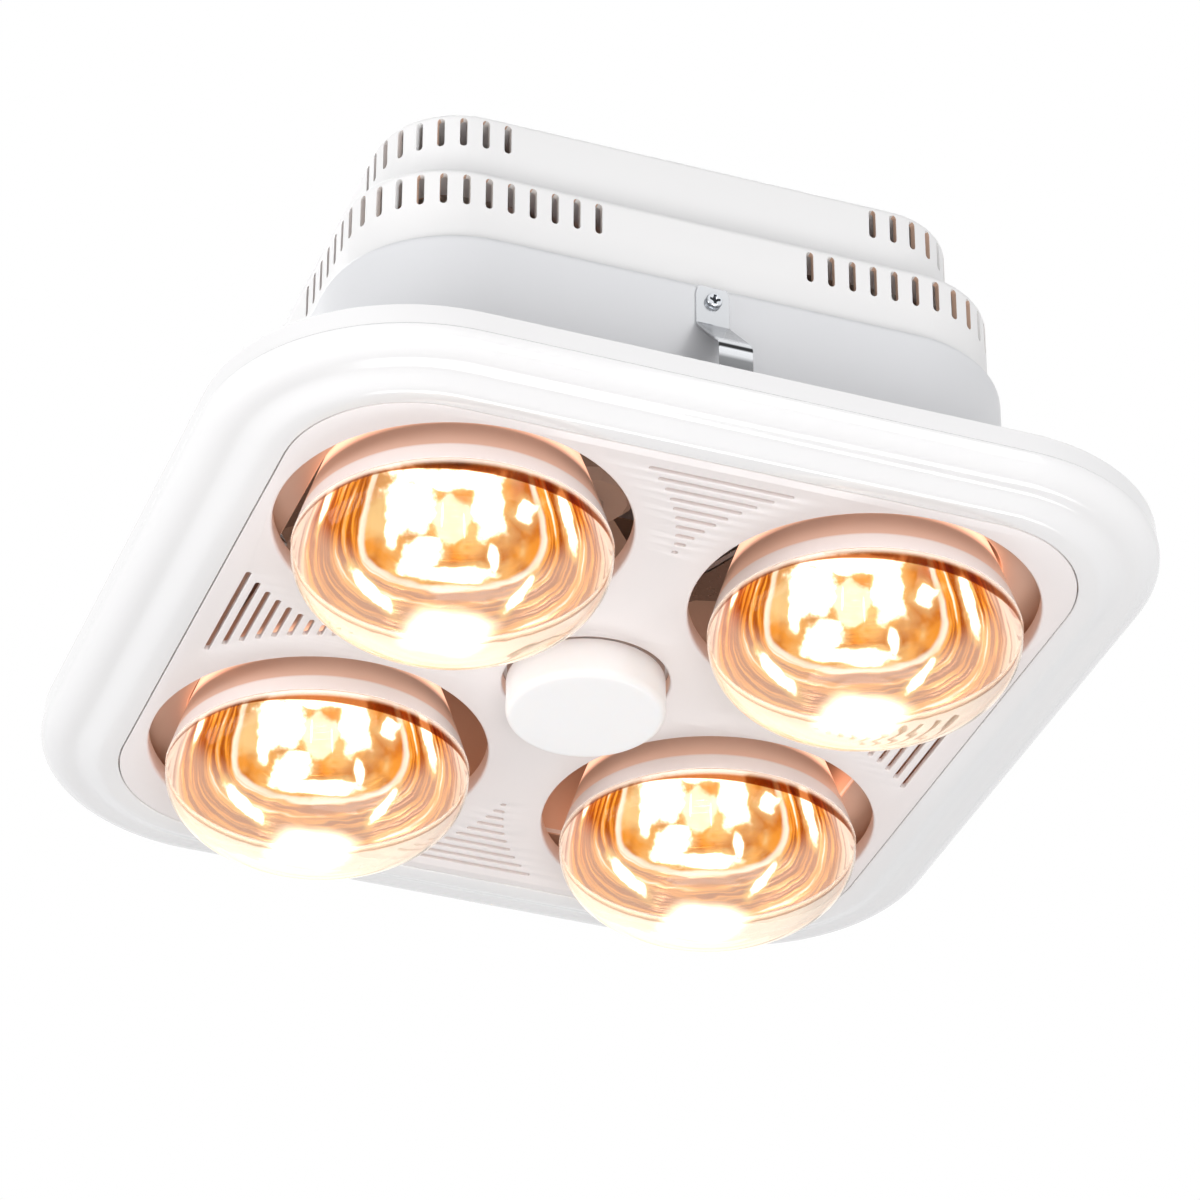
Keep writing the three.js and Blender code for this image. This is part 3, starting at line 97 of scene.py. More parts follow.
@dataclass(frozen=True, eq=False)
class Value:
    """A node's output that can be reckoned with like a number.

    Attributes:
        tree: Tree that holds the node.
        socket: The output.
    """

    tree: "NodeTree"
    socket: bpy.types.NodeSocket

    def __add__(self, other: "Value | float") -> "Value":
        """Adds a value."""
        return self.tree.math("ADD", self, other)

    def __sub__(self, other: "Value | float") -> "Value":
        """Takes a value away."""
        return self.tree.math("SUBTRACT", self, other)

    def __rsub__(self, number: float) -> "Value":
        """Takes this value from a number."""
        return self.tree.math("SUBTRACT", number, self)

    def __mul__(self, other: "Value | float") -> "Value":
        """Multiplies by a value."""
        return self.tree.math("MULTIPLY", self, other)

    def __truediv__(self, other: "Value | float") -> "Value":
        """Divides by a value."""
        return self.tree.math("DIVIDE", self, other)

    def __mod__(self, number: float) -> "Value":
        """Wraps the value round, so that it stays between 0 and a number."""
        return self.tree.math("FLOORED_MODULO", self, number)

    def __pow__(self, power: float) -> "Value":
        """Raises the value to a power."""
        return self.tree.math("POWER", self, power)

    def __abs__(self) -> "Value":
        """Drops the sign."""
        return self.tree.math("ABSOLUTE", self)

    def __lt__(self, other: "Value | float") -> "Value":
        """Gives 1 where this value is the smaller one, and 0 elsewhere."""
        return self.tree.math("LESS_THAN", self, other)

    def __gt__(self, other: "Value | float") -> "Value":
        """Gives 1 where this value is the larger one, and 0 elsewhere."""
        return self.tree.math("GREATER_THAN", self, other)

    def larger(self, other: "Value | float") -> "Value":
        """Gives the larger of two values."""
        return self.tree.math("MAXIMUM", self, other)

    def smaller(self, other: "Value | float") -> "Value":
        """Gives the smaller of two values."""
        return self.tree.math("MINIMUM", self, other)

    def fade(self, start: float, end: float, low: float = 0.0, high: float = 1.0) -> "Value":
        """Maps the value from one range to another, with soft ends.

        Args:
            start: Value that gives low.
            end: Value that gives high.
            low: Result up to start.
            high: Result from end on.

        Returns:
            The mapped value.
        """
        node = self.tree.add("ShaderNodeMapRange", interpolation_type="SMOOTHSTEP")
        for socket, value in zip(node.inputs, (self, start, end, low, high)):
            self.tree.feed(socket, value)
        return Value(self.tree, node.outputs["Result"])

    def noise(self, scale: float, detail: float = 2.0) -> "Value":
        """Reads a noise pattern at this place.

        Args:
            scale: Cells in a metre.
            detail: Octaves.

        Returns:
            The pattern, between 0 and 1.
        """
        node = self.tree.add("ShaderNodeTexNoise")
        for name, value in (("Vector", self), ("Scale", scale), ("Detail", detail)):
            self.tree.feed(node.inputs[name], value)
        return Value(self.tree, node.outputs["Fac"])


@dataclass(frozen=True, eq=False)
class Place:
    """Where a point of the surface lies about the object's own axis.

    Attributes:
        point: The point, in metres.
        across: Its distance along X, in millimetres.
        along: Its distance along Y, in millimetres.
        height: Its height, in millimetres.
        radius: Its distance from the axis, in millimetres.
        turn: Its turn round the axis, in degrees.
    """

    point: Value
    across: Value
    along: Value
    height: Value
    radius: Value
    turn: Value


class NodeTree:
    """A node tree with short calls for the usual nodes."""

    def __init__(self, owner: bpy.types.Material | bpy.types.World) -> None:
        """Opens the tree of a material or of the world."""
        owner.use_nodes = True
        self.nodes, self.links = owner.node_tree.nodes, owner.node_tree.links

    def add(self, kind: str, **options: str) -> bpy.types.Node:
        """Adds a node.

        Args:
            kind: Blender's identifier of the node type.
            options: The node's own settings.

        Returns:
            The new node.
        """
        node = self.nodes.new(kind)
        for name, option in options.items():
            setattr(node, name, option)
        return node

    def feed(self, socket: bpy.types.NodeSocket, value: Value | Point | float) -> None:
        """Links a value to an input, or sets the input to a colour, vector or number.

        Args:
            socket: The input.
            value: What it gets.
        """
        if isinstance(value, Value):
            self.links.new(value.socket, socket)
        elif socket.type == "RGBA":
            socket.default_value = (*value, 1.0)
        else:
            socket.default_value = value

    def surface(self, inputs: dict[str, Value | Point | float]) -> None:
        """Sets inputs of the principled shader, given by name."""
        for name, value in inputs.items():
            self.feed(self.nodes["Principled BSDF"].inputs[name], value)

    def math(self, operation: str, *values: Value | float) -> Value:
        """Reckons with one or two values.

        Args:
            operation: Name of the operation.
            values: The values.

        Returns:
            The result.
        """
        node = self.add("ShaderNodeMath", operation=operation)
        for socket, value in zip(node.inputs, values):
            self.feed(socket, value)
        return Value(self, node.outputs["Value"])

    def vectors(self, operation: str, result: str, *values: Value | Point) -> Value:
        """Reckons with two vectors.

        Args:
            operation: Name of the operation.
            result: Name of the output.
            values: The vectors.

        Returns:
            The result.
        """
        node = self.add("ShaderNodeVectorMath", operation=operation)
        for socket, value in zip(node.inputs, values):
            self.feed(socket, value)
        return Value(self, node.outputs[result])

    def mix(self, factor: Value | float, first: Value | Colour, second: Value | Colour) -> Value:
        """Mixes two colours.

        Args:
            factor: Share of the second colour.
            first: Colour at 0.
            second: Colour at 1.

        Returns:
            The colour.
        """
        node = self.add("ShaderNodeMix", data_type="RGBA")
        for index, value in ((0, factor), (6, first), (7, second)):
            self.feed(node.inputs[index], value)
        return Value(self, node.outputs[2])

    def ramp(self, value: Value, stops: tuple[Spot, ...]) -> Value:
        """Runs a value through a row of greys.

        Args:
            value: The value, between 0 and 1.
            stops: Pairs of place and grey, in order.

        Returns:
            The grey.
        """
        node = self.add("ShaderNodeValToRGB")
        elements = node.color_ramp.elements
        while len(elements) < len(stops):
            elements.new(1.0)
        for element, (spot, grey) in zip(elements, stops):
            element.position = spot
            element.color = (grey, grey, grey, 1.0)
        self.feed(node.inputs["Fac"], value)
        return Value(self, node.outputs["Color"])

    def combine(self, *parts: Value) -> Value:
        """Joins the values of X, Y and Z into a vector.

        Args:
            parts: The three values.

        Returns:
            The vector.
        """
        node = self.add("ShaderNodeCombineXYZ")
        for socket, value in zip(node.inputs, parts):
            self.feed(socket, value)
        return Value(self, node.outputs["Vector"])

    def length(self, first: Value, second: Value, power: float) -> Value:
        """Measures a distance: power 1 gives a lozenge, 2 a circle and 4 a rounded block."""
        return (abs(first) ** power + abs(second) ** power) ** (1.0 / power)

    def point(self) -> Value:
        """Gives the place of a point of the surface, in metres."""
        return Value(self, self.add("ShaderNodeTexCoord").outputs["Object"])

    def place(self) -> Place:
        """Reads where a point of the surface lies about the object's own axis.

        Returns:
            The place.
        """
        point = self.point()
        parts = self.add("ShaderNodeSeparateXYZ")
        self.feed(parts.inputs["Vector"], point)
        across, along, height = (Value(self, part) / MM for part in parts.outputs)
        turn = self.math("ARCTAN2", along, across) * (180.0 / math.pi)
        return Place(point, across, along, height, self.length(across, along, 2.0), turn)

    def bump(self, height: Value, depth: float) -> Value:
        """Adds relief from a height pattern.

        Args:
            height: Pattern between 0 and 1.
            depth: Depth in millimetres.

        Returns:
            The normal.
        """
        node = self.add("ShaderNodeBump")
        for name, value in (("Strength", 1.0), ("Distance", depth * MM), ("Height", height)):
            self.feed(node.inputs[name], value)
        return Value(self, node.outputs["Normal"])

    def looked_at(self) -> Value:
        """Tells rays that look at a background from rays that gather its light.

        Returns:
            1 for a ray from the camera, a mirror or a glass, 0 for any other.
        """
        path = self.add("ShaderNodeLightPath")
        kinds = ("Is Camera Ray", "Is Glossy Ray", "Is Transmission Ray")
        return reduce(Value.larger, [Value(self, path.outputs[kind]) for kind in kinds])


# ------------------------------------------------------------------ finishes


@dataclass(frozen=True)
class Finish:
    """A finish and its procedural detail.

    Attributes:
        colour: Base colour.
        second: Colour that the blotches drift to.
        roughness: Mean roughness.
        spread: How far roughness wanders either way.
        metallic: 0 for plastic and glaze, 1 for metal.
        grain: Depth of the fine relief, in millimetres.
        grain_scale: Cells of the fine relief in a metre.
        blotch_scale: Cells of the colour drift in a metre.
        coat: Weight of a clear gloss layer.
        coat_roughness: Roughness of that layer.
        run: Direction of the relief.
        glow: Strength of a faint glow in the base colour.
        sheen_through: Subsurface weight of translucent plastic.
        depth_through: How far red, green and blue reach below its surface, in metres.
    """

    colour: Colour
    second: Colour
    roughness: float
    spread: float = 0.05
    metallic: float = 0.0
    grain: float = 0.02
    grain_scale: float = 900.0
    blotch_scale: float = 9.0
    coat: float = 0.0
    coat_roughness: float = 0.05
    run: Grain = Grain.EVEN
    glow: float = 0.0
    sheen_through: float = 0.0
    depth_through: Triple = (0.004, 0.003, 0.0025)

    def material(self, name: str) -> bpy.types.Material:
        """Builds the node material of this finish.

        Args:
            name: Name of the material.

        Returns:
            The new material.
        """
        material = bpy.data.materials.new(name)
        tree = NodeTree(material)
        point = tree.point()
        stretch = tree.add("ShaderNodeMapping")
        tree.feed(stretch.inputs["Vector"], point)
        tree.feed(stretch.inputs["Scale"], self.run.value)
        drawn = Value(tree, stretch.outputs["Vector"])
        shade = tree.mix(point.noise(self.blotch_scale, 4.0), self.colour, self.second)
        wear = drawn.noise(self.blotch_scale * 7.0, 6.0)
        smooth, coarse = self.roughness - self.spread, self.roughness + self.spread
        tree.surface({
            "Base Color": shade,
            "Roughness": wear.fade(0.3, 0.7, smooth, coarse),
            "Normal": tree.bump(drawn.noise(self.grain_scale, 3.0), self.grain),
            "Metallic": self.metallic,
            "Coat Weight": self.coat,
            "Coat Roughness": self.coat_roughness,
            "Subsurface Weight": self.sheen_through,
            "Subsurface Radius": self.depth_through,
        })
        if self.glow:
            tree.surface({"Emission Color": shade, "Emission Strength": self.glow})
        return material


GLOSS_WHITE = Finish((0.85, 0.845, 0.845), (0.83, 0.82, 0.82), 0.14, spread=0.04, grain=0.006,
                     grain_scale=260.0, blotch_scale=6.0, coat=0.6)
SATIN_WHITE = Finish((0.87, 0.82, 0.81), (0.85, 0.79, 0.775), 0.34, grain=0.012,
                     grain_scale=1500.0, blotch_scale=11.0)
HOUSING_WHITE = Finish((0.90, 0.895, 0.89), (0.88, 0.87, 0.865), 0.42, spread=0.07, grain=0.015,
                       grain_scale=1100.0, blotch_scale=7.0)
# A cooler, greyer white than the housing's, worn by the lowest storey and the flange.
GREYER_SHEET = Finish((0.78, 0.785, 0.80), (0.75, 0.755, 0.77), 0.36, spread=0.06, grain=0.02,
                       grain_scale=700.0, blotch_scale=8.0)
GALVANISED = Finish((0.48, 0.49, 0.50), (0.34, 0.35, 0.36), 0.38, spread=0.12, metallic=1.0,
                    grain=0.02, grain_scale=320.0, blotch_scale=60.0)
ZINC = Finish((0.90, 0.92, 0.95), (0.76, 0.79, 0.83), 0.18, spread=0.06, metallic=0.78, grain=0.004,
              grain_scale=900.0, blotch_scale=90.0, run=Grain.DRAWN)
STEEL = Finish((0.55, 0.56, 0.57), (0.42, 0.43, 0.44), 0.28, metallic=1.0, grain=0.01,
               grain_scale=1400.0, blotch_scale=50.0, run=Grain.ROLLED)
BRASS = Finish((0.70, 0.60, 0.36), (0.52, 0.42, 0.24), 0.3, spread=0.1, metallic=1.0,
               grain=0.015, blotch_scale=80.0)
COPPER = Finish((0.60, 0.27, 0.10), (0.40, 0.15, 0.05), 0.3, metallic=0.8, grain=0.15,
                grain_scale=700.0, run=Grain.ROLLED)
PORCELAIN = Finish((0.82, 0.80, 0.74), (0.76, 0.73, 0.66), 0.2, grain=0.01, coat=0.5)
FAN_PLASTIC = Finish((0.62, 0.60, 0.57), (0.52, 0.50, 0.46), 0.5, grain=0.03)
SINK_METAL = Finish((0.62, 0.63, 0.64), (0.50, 0.51, 0.52), 0.45, metallic=1.0, grain=0.04)
BOARD_WHITE = Finish((0.80, 0.82, 0.79), (0.74, 0.77, 0.72), 0.35)
DARK_PLASTIC = Finish((0.045, 0.046, 0.05), (0.03, 0.03, 0.033), 0.45, grain=0.04)
GREY_PLASTIC = Finish((0.33, 0.34, 0.34), (0.27, 0.28, 0.28), 0.5, grain=0.04)
CASE_WHITE = Finish((0.74, 0.73, 0.70), (0.68, 0.67, 0.63), 0.45, grain=0.03)
OPAL = Finish((0.86, 0.845, 0.84), (0.84, 0.825, 0.82), 0.32, spread=0.03, grain=0.008,
              glow=0.12, sheen_through=0.25)
FLOOR_PAINT = Finish((0.8, 0.8, 0.8), (0.79, 0.79, 0.79), 0.8, grain=0.0)
# Painted warm shade for hidden inner sides, standing in for the shade and the lamps' glow inside the
# housing.
PAINTED_WARM_SHADE: Colour = (0.66, 0.45, 0.34)
TURNED_AWAY = -0.01


def with_painted_inner_shade(finish: Finish, name: str, low: float, underside: bool = False) -> bpy.types.Material:
    """Builds a wall's material with painted shade: the side that looks inwards gets a warm brown
    standing in for the shade and the lamps' glow inside the housing.

    Args:
        finish: The outside's finish.
        name: Name of the material.
        low: Height where the painted shade starts, in millimetres.
        underside: Whether the side that looks down gets the painted shade instead.

    Returns:
        The wall's material.
    """
    material = finish.material(name)
    tree = NodeTree(material)
    place = tree.place()
    away = (0.0, 0.0, 1.0)
    if not underside:
        away = tree.vectors("MULTIPLY", "Vector", place.point, (1.0, 1.0, 0.0))
    normal = Value(tree, tree.add("ShaderNodeNewGeometry").outputs["Normal"])
    inwards = tree.vectors("DOT_PRODUCT", "Value", away, normal) < TURNED_AWAY
    base = tree.nodes["Principled BSDF"].inputs["Base Color"]
    outside = Value(tree, base.links[0].from_socket)
    # Paints the warm shade on the side that looks inwards, above the given height.
    tree.feed(base, tree.mix(inwards * (place.height > low), outside, PAINTED_WARM_SHADE))
    return material


# ------------------------------------------------------------------ looks of a lit lamp


HOT: Colour = (1.0, 0.96, 0.84)
STRAW: Colour = (1.0, 0.76, 0.36)
GOLD: Colour = (0.94, 0.38, 0.045)
AMBER: Colour = (0.60, 0.18, 0.02)
BROWN: Colour = (0.32, 0.075, 0.004)
UMBER: Colour = (0.09, 0.025, 0.006)
# Colour of the painted glow on the shell's silvering.
ROSE_PAINTED_GLOW: Colour = (0.56, 0.30, 0.20)


@dataclass(frozen=True)
class ClearFront:
    """Look of the clear front glass: pressed rings, a frosted rim, a white-hot middle, a painted dark
    crescent of shade on one side, and a painted sheen at a slant and on the far side.

    Attributes:
        wide: Radius of the glass.
        rim: Height of its rim.
        rings: Radians that the pressed rings turn through in a millimetre, and their share.
        relief: Depth of the relief.
        frost: Depths below the rim where the frost starts and is full, and what it hides.
        tints: Colours seen square on, at a slant, through the frost and in the painted dark crescent.
        slanted: Slant where the second colour starts and is full.
        painted_shade_crescent: Turn of the painted dark crescent's middle, half its reach, its height
            and its top below the rim.
        hot: Shift of the hot spot along Y, its power, and where it starts and ends in radii.
        haze: Colour of the glow round the hot spot.
        far: Where the painted sheen on the far side starts and is full along Y, and its strength.
        edge: Where the painted sheen on slanted glass starts and is full, and its strength.
        hot_glow: Strength of the hot spot.
        frost_glow: Strength of the frost's glow.
        roughness: Roughness of the glass.
        bend: Index of refraction.
    """

    wide: float
    rim: float
    rings: Spot = (0.9, 0.25)
    relief: float = 0.12
    frost: Triple = (3.5, 0.8, 0.55)
    tints: tuple[Colour, Colour, Colour, Colour] = (
        (1.0, 0.96, 0.90), (1.0, 0.83, 0.70), (0.95, 0.86, 0.82), (0.30, 0.10, 0.03),
    )
    slanted: Spot = (0.55, 0.9)
    painted_shade_crescent: tuple[float, float, float, float] = (-78.0, 74.0, 3.2, 3.0)
    hot: tuple[float, float, float, float] = (9.0, 3.4, 0.24, 0.44)
    haze: Colour = (1.0, 0.77, 0.50)
    far: Triple = (6.0, 54.0, 0.2)
    edge: Triple = (0.70, 0.92, 0.12)
    hot_glow: float = 1.2
    frost_glow: float = 0.12
    roughness: float = 0.03
    bend: float = 1.14

    def material(self, name: str) -> bpy.types.Material:
        """Builds the glass.

        Args:
            name: Name of the material.

        Returns:
            The glass material.
        """
        material = bpy.data.materials.new(name)
        tree = NodeTree(material)
        place = tree.place()
        drift = place.point.noise(26.0, 3.0)
        rings = tree.math("SINE", place.radius * self.rings[0]) * self.rings[1]
        frost = place.height.fade(self.rim - self.frost[0], self.rim - self.frost[1])
        weight = tree.add("ShaderNodeLayerWeight")
        tree.feed(weight.inputs["Blend"], 0.5)
        slant = Value(tree, weight.outputs["Facing"])
        square_on, oblique, frosted, crescent_shade_tint = self.tints
        tint = tree.mix(slant.fade(*self.slanted), square_on, oblique)
        tint = tree.mix(frost, tint, frosted)
        # Painted shade: a dark crescent just below the rim, on one side of the glass only.
        turn, reach, deep, top = self.painted_shade_crescent
        beside = abs(place.turn - turn) + drift * 14.0
        painted_shade_crescent = (self.rim - top - place.height) < beside.fade(12.0, reach, deep, 0.0)
        shift, power, core, end = self.hot
        far = tree.length(place.across / self.wide, (place.along - shift) / self.wide, power)
        hot = (far + drift * 0.2).fade(core, end, 1.0, 0.0)
        # Painted sheen: a pale glow on slanted glass and on the far side, standing in for the glass's
        # reflection of its pale surroundings.
        painted_sheen = slant.fade(*self.edge[:2], 0.0, self.edge[2])
        painted_sheen = painted_sheen.larger(place.along.fade(*self.far[:2], 0.0, self.far[2]))
        tree.surface({
            "Base Color": tree.mix(painted_shade_crescent * (1.0 - frost), tint, crescent_shade_tint),
            "Transmission Weight": 1.0 - frost * self.frost[2],
            "Emission Color": tree.mix(hot, self.haze, HOT),
            "Emission Strength": hot * self.hot_glow + (frost * self.frost_glow + painted_sheen),
            "Normal": tree.bump(rings + drift, self.relief),
            "Roughness": self.roughness,
            "IOR": self.bend,
        })
        return material


@dataclass(frozen=True)
class Gleam:
    """A painted reflection: a bright patch on a lamp's mirror, where it gathers the filament's light.

    Attributes:
        turn: Place round the lamp's axis.
        height: Place along the axis.
        wide: Half width, in degrees.
        tall: Half height.
        lean: Millimetres that it climbs with each degree.
        square: 1 for a lozenge, 2 for an oval, 4 for a block.
        bright: Share of full brightness.
    """

    turn: float
    height: float
    wide: float
    tall: float
    lean: float = 0.0
    square: float = 4.0
    bright: float = 1.0


@dataclass(frozen=True)
class GiltMirror:
    """Look of the gilded inside of the reflector with its streaks, rings and gleams; the gleams are
    painted reflections of the filament's light.

    The pattern is drawn in degrees round the axis and millimetres along it, and stands twice
    round the lamp. An inner field is clouded, and streaks flow round it.

    Attributes:
        start: Turn where one of the two patterns starts.
        zone: Middle turn, upper height, half width and depth of the inner field.
        square: Power of the field's outline.
        flow: Cells of the streaks across the flow, along a degree and along a millimetre.
        streak_mix: Where streaks turn from brown to gold, and from gold to white-hot.
        pale: Reach where the outermost streaks start to pale and are palest, and how pale.
        low: Heights where the mirror's foot is palest and no longer pale, and how pale.
        throat: Heights where the neck's dark starts and is full.
        ring: Half widths of the bright line round the field, full and faded.
        glow: Strength of the glow, and what streaks and gleams add to it.
        halo: How strong the paler painted ring round a gleam is.
        shade: Share of the mirror's own colour that is umber.
        tint: Colour of the mirror at a slant.
        relief: Depth of the relief.
        roughness: Roughness of the mirror.
        gleams: The bright patches of painted reflection.
    """

    start: float = -17.0
    zone: tuple[float, float, float, float] = (72.5, 20.0, 46.5, 33.0)
    square: float = 4.0
    flow: Triple = (16.0, 0.018, 0.03)
    streak_mix: tuple[Spot, Spot] = ((0.42, 0.62), (0.60, 0.70))
    pale: Triple = (1.60, 1.95, 0.85)
    low: Triple = (-16.0, -4.0, 0.3)
    throat: Spot = (32.0, 35.0)
    ring: Spot = (0.014, 0.055)
    glow: Triple = (0.74, 0.2, 1.3)
    halo: float = 0.55
    shade: float = 0.8
    tint: Colour = (0.55, 0.22, 0.06)
    relief: float = 0.5
    roughness: float = 0.16
    gleams: tuple[Gleam, ...] = (
        Gleam(96.0, 17.0, 14.0, 10.5, lean=-0.15),
        Gleam(102.0, 5.0, 4.5, 6.0, lean=0.6, square=2.0),
        Gleam(76.0, 28.5, 33.0, 4.0),
        Gleam(53.0, 19.0, 8.5, 13.0),
        Gleam(34.0, 12.0, 9.0, 5.5, square=1.0),
        Gleam(9.5, 1.0, 4.0, 12.0, lean=-1.0, square=2.0),
        Gleam(147.0, 0.0, 3.0, 9.0, lean=1.2, square=2.0, bright=0.8),
        Gleam(86.0, 0.0, 8.5, 6.0, lean=-0.2),
        Gleam(73.0, -7.5, 21.0, 3.2, square=3.0),
        Gleam(53.5, -2.0, 2.6, 6.0, square=2.0),
        Gleam(106.0, -19.5, 10.0, 3.0, lean=0.42, square=3.0),
        Gleam(43.0, -17.5, 7.0, 2.6, lean=-0.7, square=3.0),
        Gleam(73.0, 14.0, 10.0, 9.0, square=2.0, bright=0.5),
        Gleam(66.5, 11.5, 0.5, 4.5, lean=3.0, square=2.0),
        Gleam(77.5, 15.5, 0.5, 5.0, lean=2.0, square=2.0),
        Gleam(86.5, 15.0, 0.4, 4.0, lean=1.0, square=2.0, bright=0.6),
    )

    def reach(self, tree: NodeTree, place: Place, turn: Value, drift: Value) -> Value:
        """Measures how far a point lies from the middle of the inner field.

        Args:
            tree: The mirror's tree.
            place: The point.
            turn: Its turn in the pattern.
            drift: Noise that makes the outline wander.

        Returns:
            The reach, 1 on the field's outline.
        """
        middle, level, wide, tall = self.zone
        below = (level - place.height).larger(0.0)
        reach = tree.length((turn - middle) / wide, below / tall, self.square)
        return reach + (drift - 0.5) * 0.10

    def patches(
        self, tree: NodeTree, place: Place, turn: Value, drift: Value
    ) -> tuple[Value, Value]:
        """Draws the gleams with ragged edges and a paler ring round them.

        Args:
            tree: The mirror's tree.
            place: The point.
            turn: Its turn in the pattern.
            drift: Noise that ruffles the edges.

        Returns:
            Brightness of the patches and of the rings, between 0 and 1.
        """
        ruffle = (drift - 0.5) * 1.5
        lit, rings = [], []
        for patch in self.gleams:
            aside = turn - patch.turn
            above = place.height - patch.height - aside * patch.lean
            far = tree.length(aside / patch.wide, above / patch.tall, patch.square) + ruffle
            lit.append(far.fade(0.78, 1.14, patch.bright, 0.0))
            rings.append(far.fade(0.9, 1.9, patch.bright, 0.0))
        return reduce(Value.larger, lit), reduce(Value.larger, rings)

    def material(self, name: str) -> bpy.types.Material:
        """Builds the mirror.

        Args:
            name: Name of the material.

        Returns:
            The mirror material.
        """
        material = bpy.data.materials.new(name)
        tree = NodeTree(material)
        place = tree.place()
        turn = (place.turn - self.start) % 180.0 + self.start
        drift, cloud = place.point.noise(60.0, 4.0), place.point.noise(75.0, 6.0)
        reach = self.reach(tree, place, turn, drift)
        flow = zip((reach, turn, place.height), self.flow)
        streaks = tree.combine(*(part * cells for part, cells in flow)).noise(1.0, 3.0)
        outside = reach.fade(0.96, 1.04)
        inner = tree.mix(cloud.fade(0.40, 0.60), AMBER, GOLD)
        inner = tree.mix(drift.fade(0.48, 0.66, 0.0, 0.85), inner, STRAW)
        to_gold, to_hot = self.streak_mix
        outer = tree.mix(streaks.fade(*to_gold), BROWN, GOLD)
        outer = tree.mix(streaks.fade(*to_hot), outer, HOT)
        shade = tree.mix(outside, inner, outer)
        shade = tree.mix(abs(reach - 1.0).fade(*self.ring, 1.0, 0.0), shade, HOT)
        pale = reach.fade(*self.pale[:2], 0.0, self.pale[2]) * streaks.fade(0.35, 0.5, 0.55, 1.0)
        foot = place.height.fade(*self.low[:2], 1.0, 0.0) * outside * self.low[2]
        shade = tree.mix(pale.larger(foot), shade, HOT)
        shade = tree.mix(place.height.fade(*self.throat), shade, UMBER)
        # Painted reflections: the gleams and the paler rings round them.
        lit, halo = self.patches(tree, place, turn, place.point.noise(120.0, 5.0))
        shade = tree.mix(halo * self.halo, shade, STRAW)
        shade = tree.mix(lit, shade, HOT)
        glow, streaked, gleaming = self.glow
        tree.surface({
            "Base Color": tree.mix(self.shade, shade, UMBER),
            "Metallic": 1.0,
            "Specular Tint": self.tint,
            "Roughness": self.roughness,
            "Normal": tree.bump(streaks + drift, self.relief),
            "Emission Color": shade,
            "Emission Strength": lit * gleaming + glow + outside * streaked,
        })
        return material


@dataclass(frozen=True)
class LampSkin:
    """Look of the shell's outside: frosted rim, then silvering with a painted rose glow that stands
    in for light and shade inside the housing.

    Attributes:
        seam: Height where the silvering starts.
        rims: Colours that the frosted rim drifts between.
        silver: Colour of the silvering.
        rim_glow: Colour of the rim's glow.
        faint: Least strength of the glow.
    """

    seam: float
    rims: tuple[Colour, Colour] = ((0.93, 0.86, 0.84), (0.90, 0.82, 0.79))
    silver: Colour = (0.46, 0.34, 0.29)
    rim_glow: Colour = (1.0, 0.86, 0.80)
    faint: float = 0.10

    def material(self, name: str) -> bpy.types.Material:
        """Builds the shell's outside.

        Args:
            name: Name of the material.

        Returns:
            The shell material.
        """
        material = bpy.data.materials.new(name)
        tree = NodeTree(material)
        place = tree.place()
        height, seam = place.height, self.seam
        drift = place.point.noise(45.0, 4.0)
        silvered = (height + drift * 0.6).fade(seam - 0.6, seam + 0.9)
        # Painted light and shade: the glow fades upwards from the seam into the collar's shade, and a
        # strong glow above the panel lights the inside of the housing.
        near = height.fade(seam, seam + 11.0, 0.66, 0.28)
        behind = height.fade(seam + 10.0, seam + 18.0, 0.0, 3.0) * height.fade(0.0, 12.0, 1.0, 0.08)
        tree.surface({
            "Base Color": tree.mix(silvered, tree.mix(drift, *self.rims), self.silver),
            "Emission Color": tree.mix(silvered, self.rim_glow, ROSE_PAINTED_GLOW),
            "Emission Strength": (silvered * near.larger(behind)).larger(self.faint),
            "Normal": tree.bump(drift, 0.05),
            "Roughness": 0.3,
            "Coat Weight": 0.4,
        })
        return material


@dataclass(frozen=True)
class GlowingWire:
    """Look of the lit filament.

    Attributes:
        cool: Colour of its cooler turns.
        warm: Colour of its hotter turns.
        strength: Strength of its light.
    """

    cool: Colour = (1.0, 0.55, 0.18)
    warm: Colour = (1.0, 0.86, 0.55)
    strength: float = 14.0

    def material(self, name: str) -> bpy.types.Material:
        """Builds the wire.

        Args:
            name: Name of the material.

        Returns:
            The wire material.
        """
        material = bpy.data.materials.new(name)
        tree = NodeTree(material)
        tint = tree.mix(tree.point().noise(400.0), self.cool, self.warm)
        tree.surface({
            "Base Color": tint, "Emission Color": tint, "Emission Strength": self.strength,
        })
        return material


# ------------------------------------------------------------------ mesh code


def make_piece(
    name: str,
    skin: Skin,
    material: bpy.types.Material,
    crease: float = 32.0,
    closed: bool = True,
) -> bpy.types.Object:
    """Makes an object from points and faces.

    Args:
        name: Name of the piece.
        skin: Its points in millimetres, and its faces.
        material: Material of the piece.
        crease: Angle over which an edge stays sharp.
        closed: Whether the mesh encloses a body, so that its faces can be turned outwards.

    Returns:
        The new object.
    """
    points, faces = skin
    mesh = bpy.data.meshes.new(name)
    mesh.from_pydata([(x * MM, y * MM, z * MM) for x, y, z in points], [], faces)
    work = bmesh.new()
    work.from_mesh(mesh)
    bmesh.ops.remove_doubles(work, verts=work.verts, dist=WELD)
    bmesh.ops.dissolve_degenerate(work, edges=work.edges, dist=SLIVER)
    if closed:
        bmesh.ops.recalc_face_normals(work, faces=work.faces)
    work.to_mesh(mesh)
    work.free()
    return finish_piece(name, mesh, material, crease)


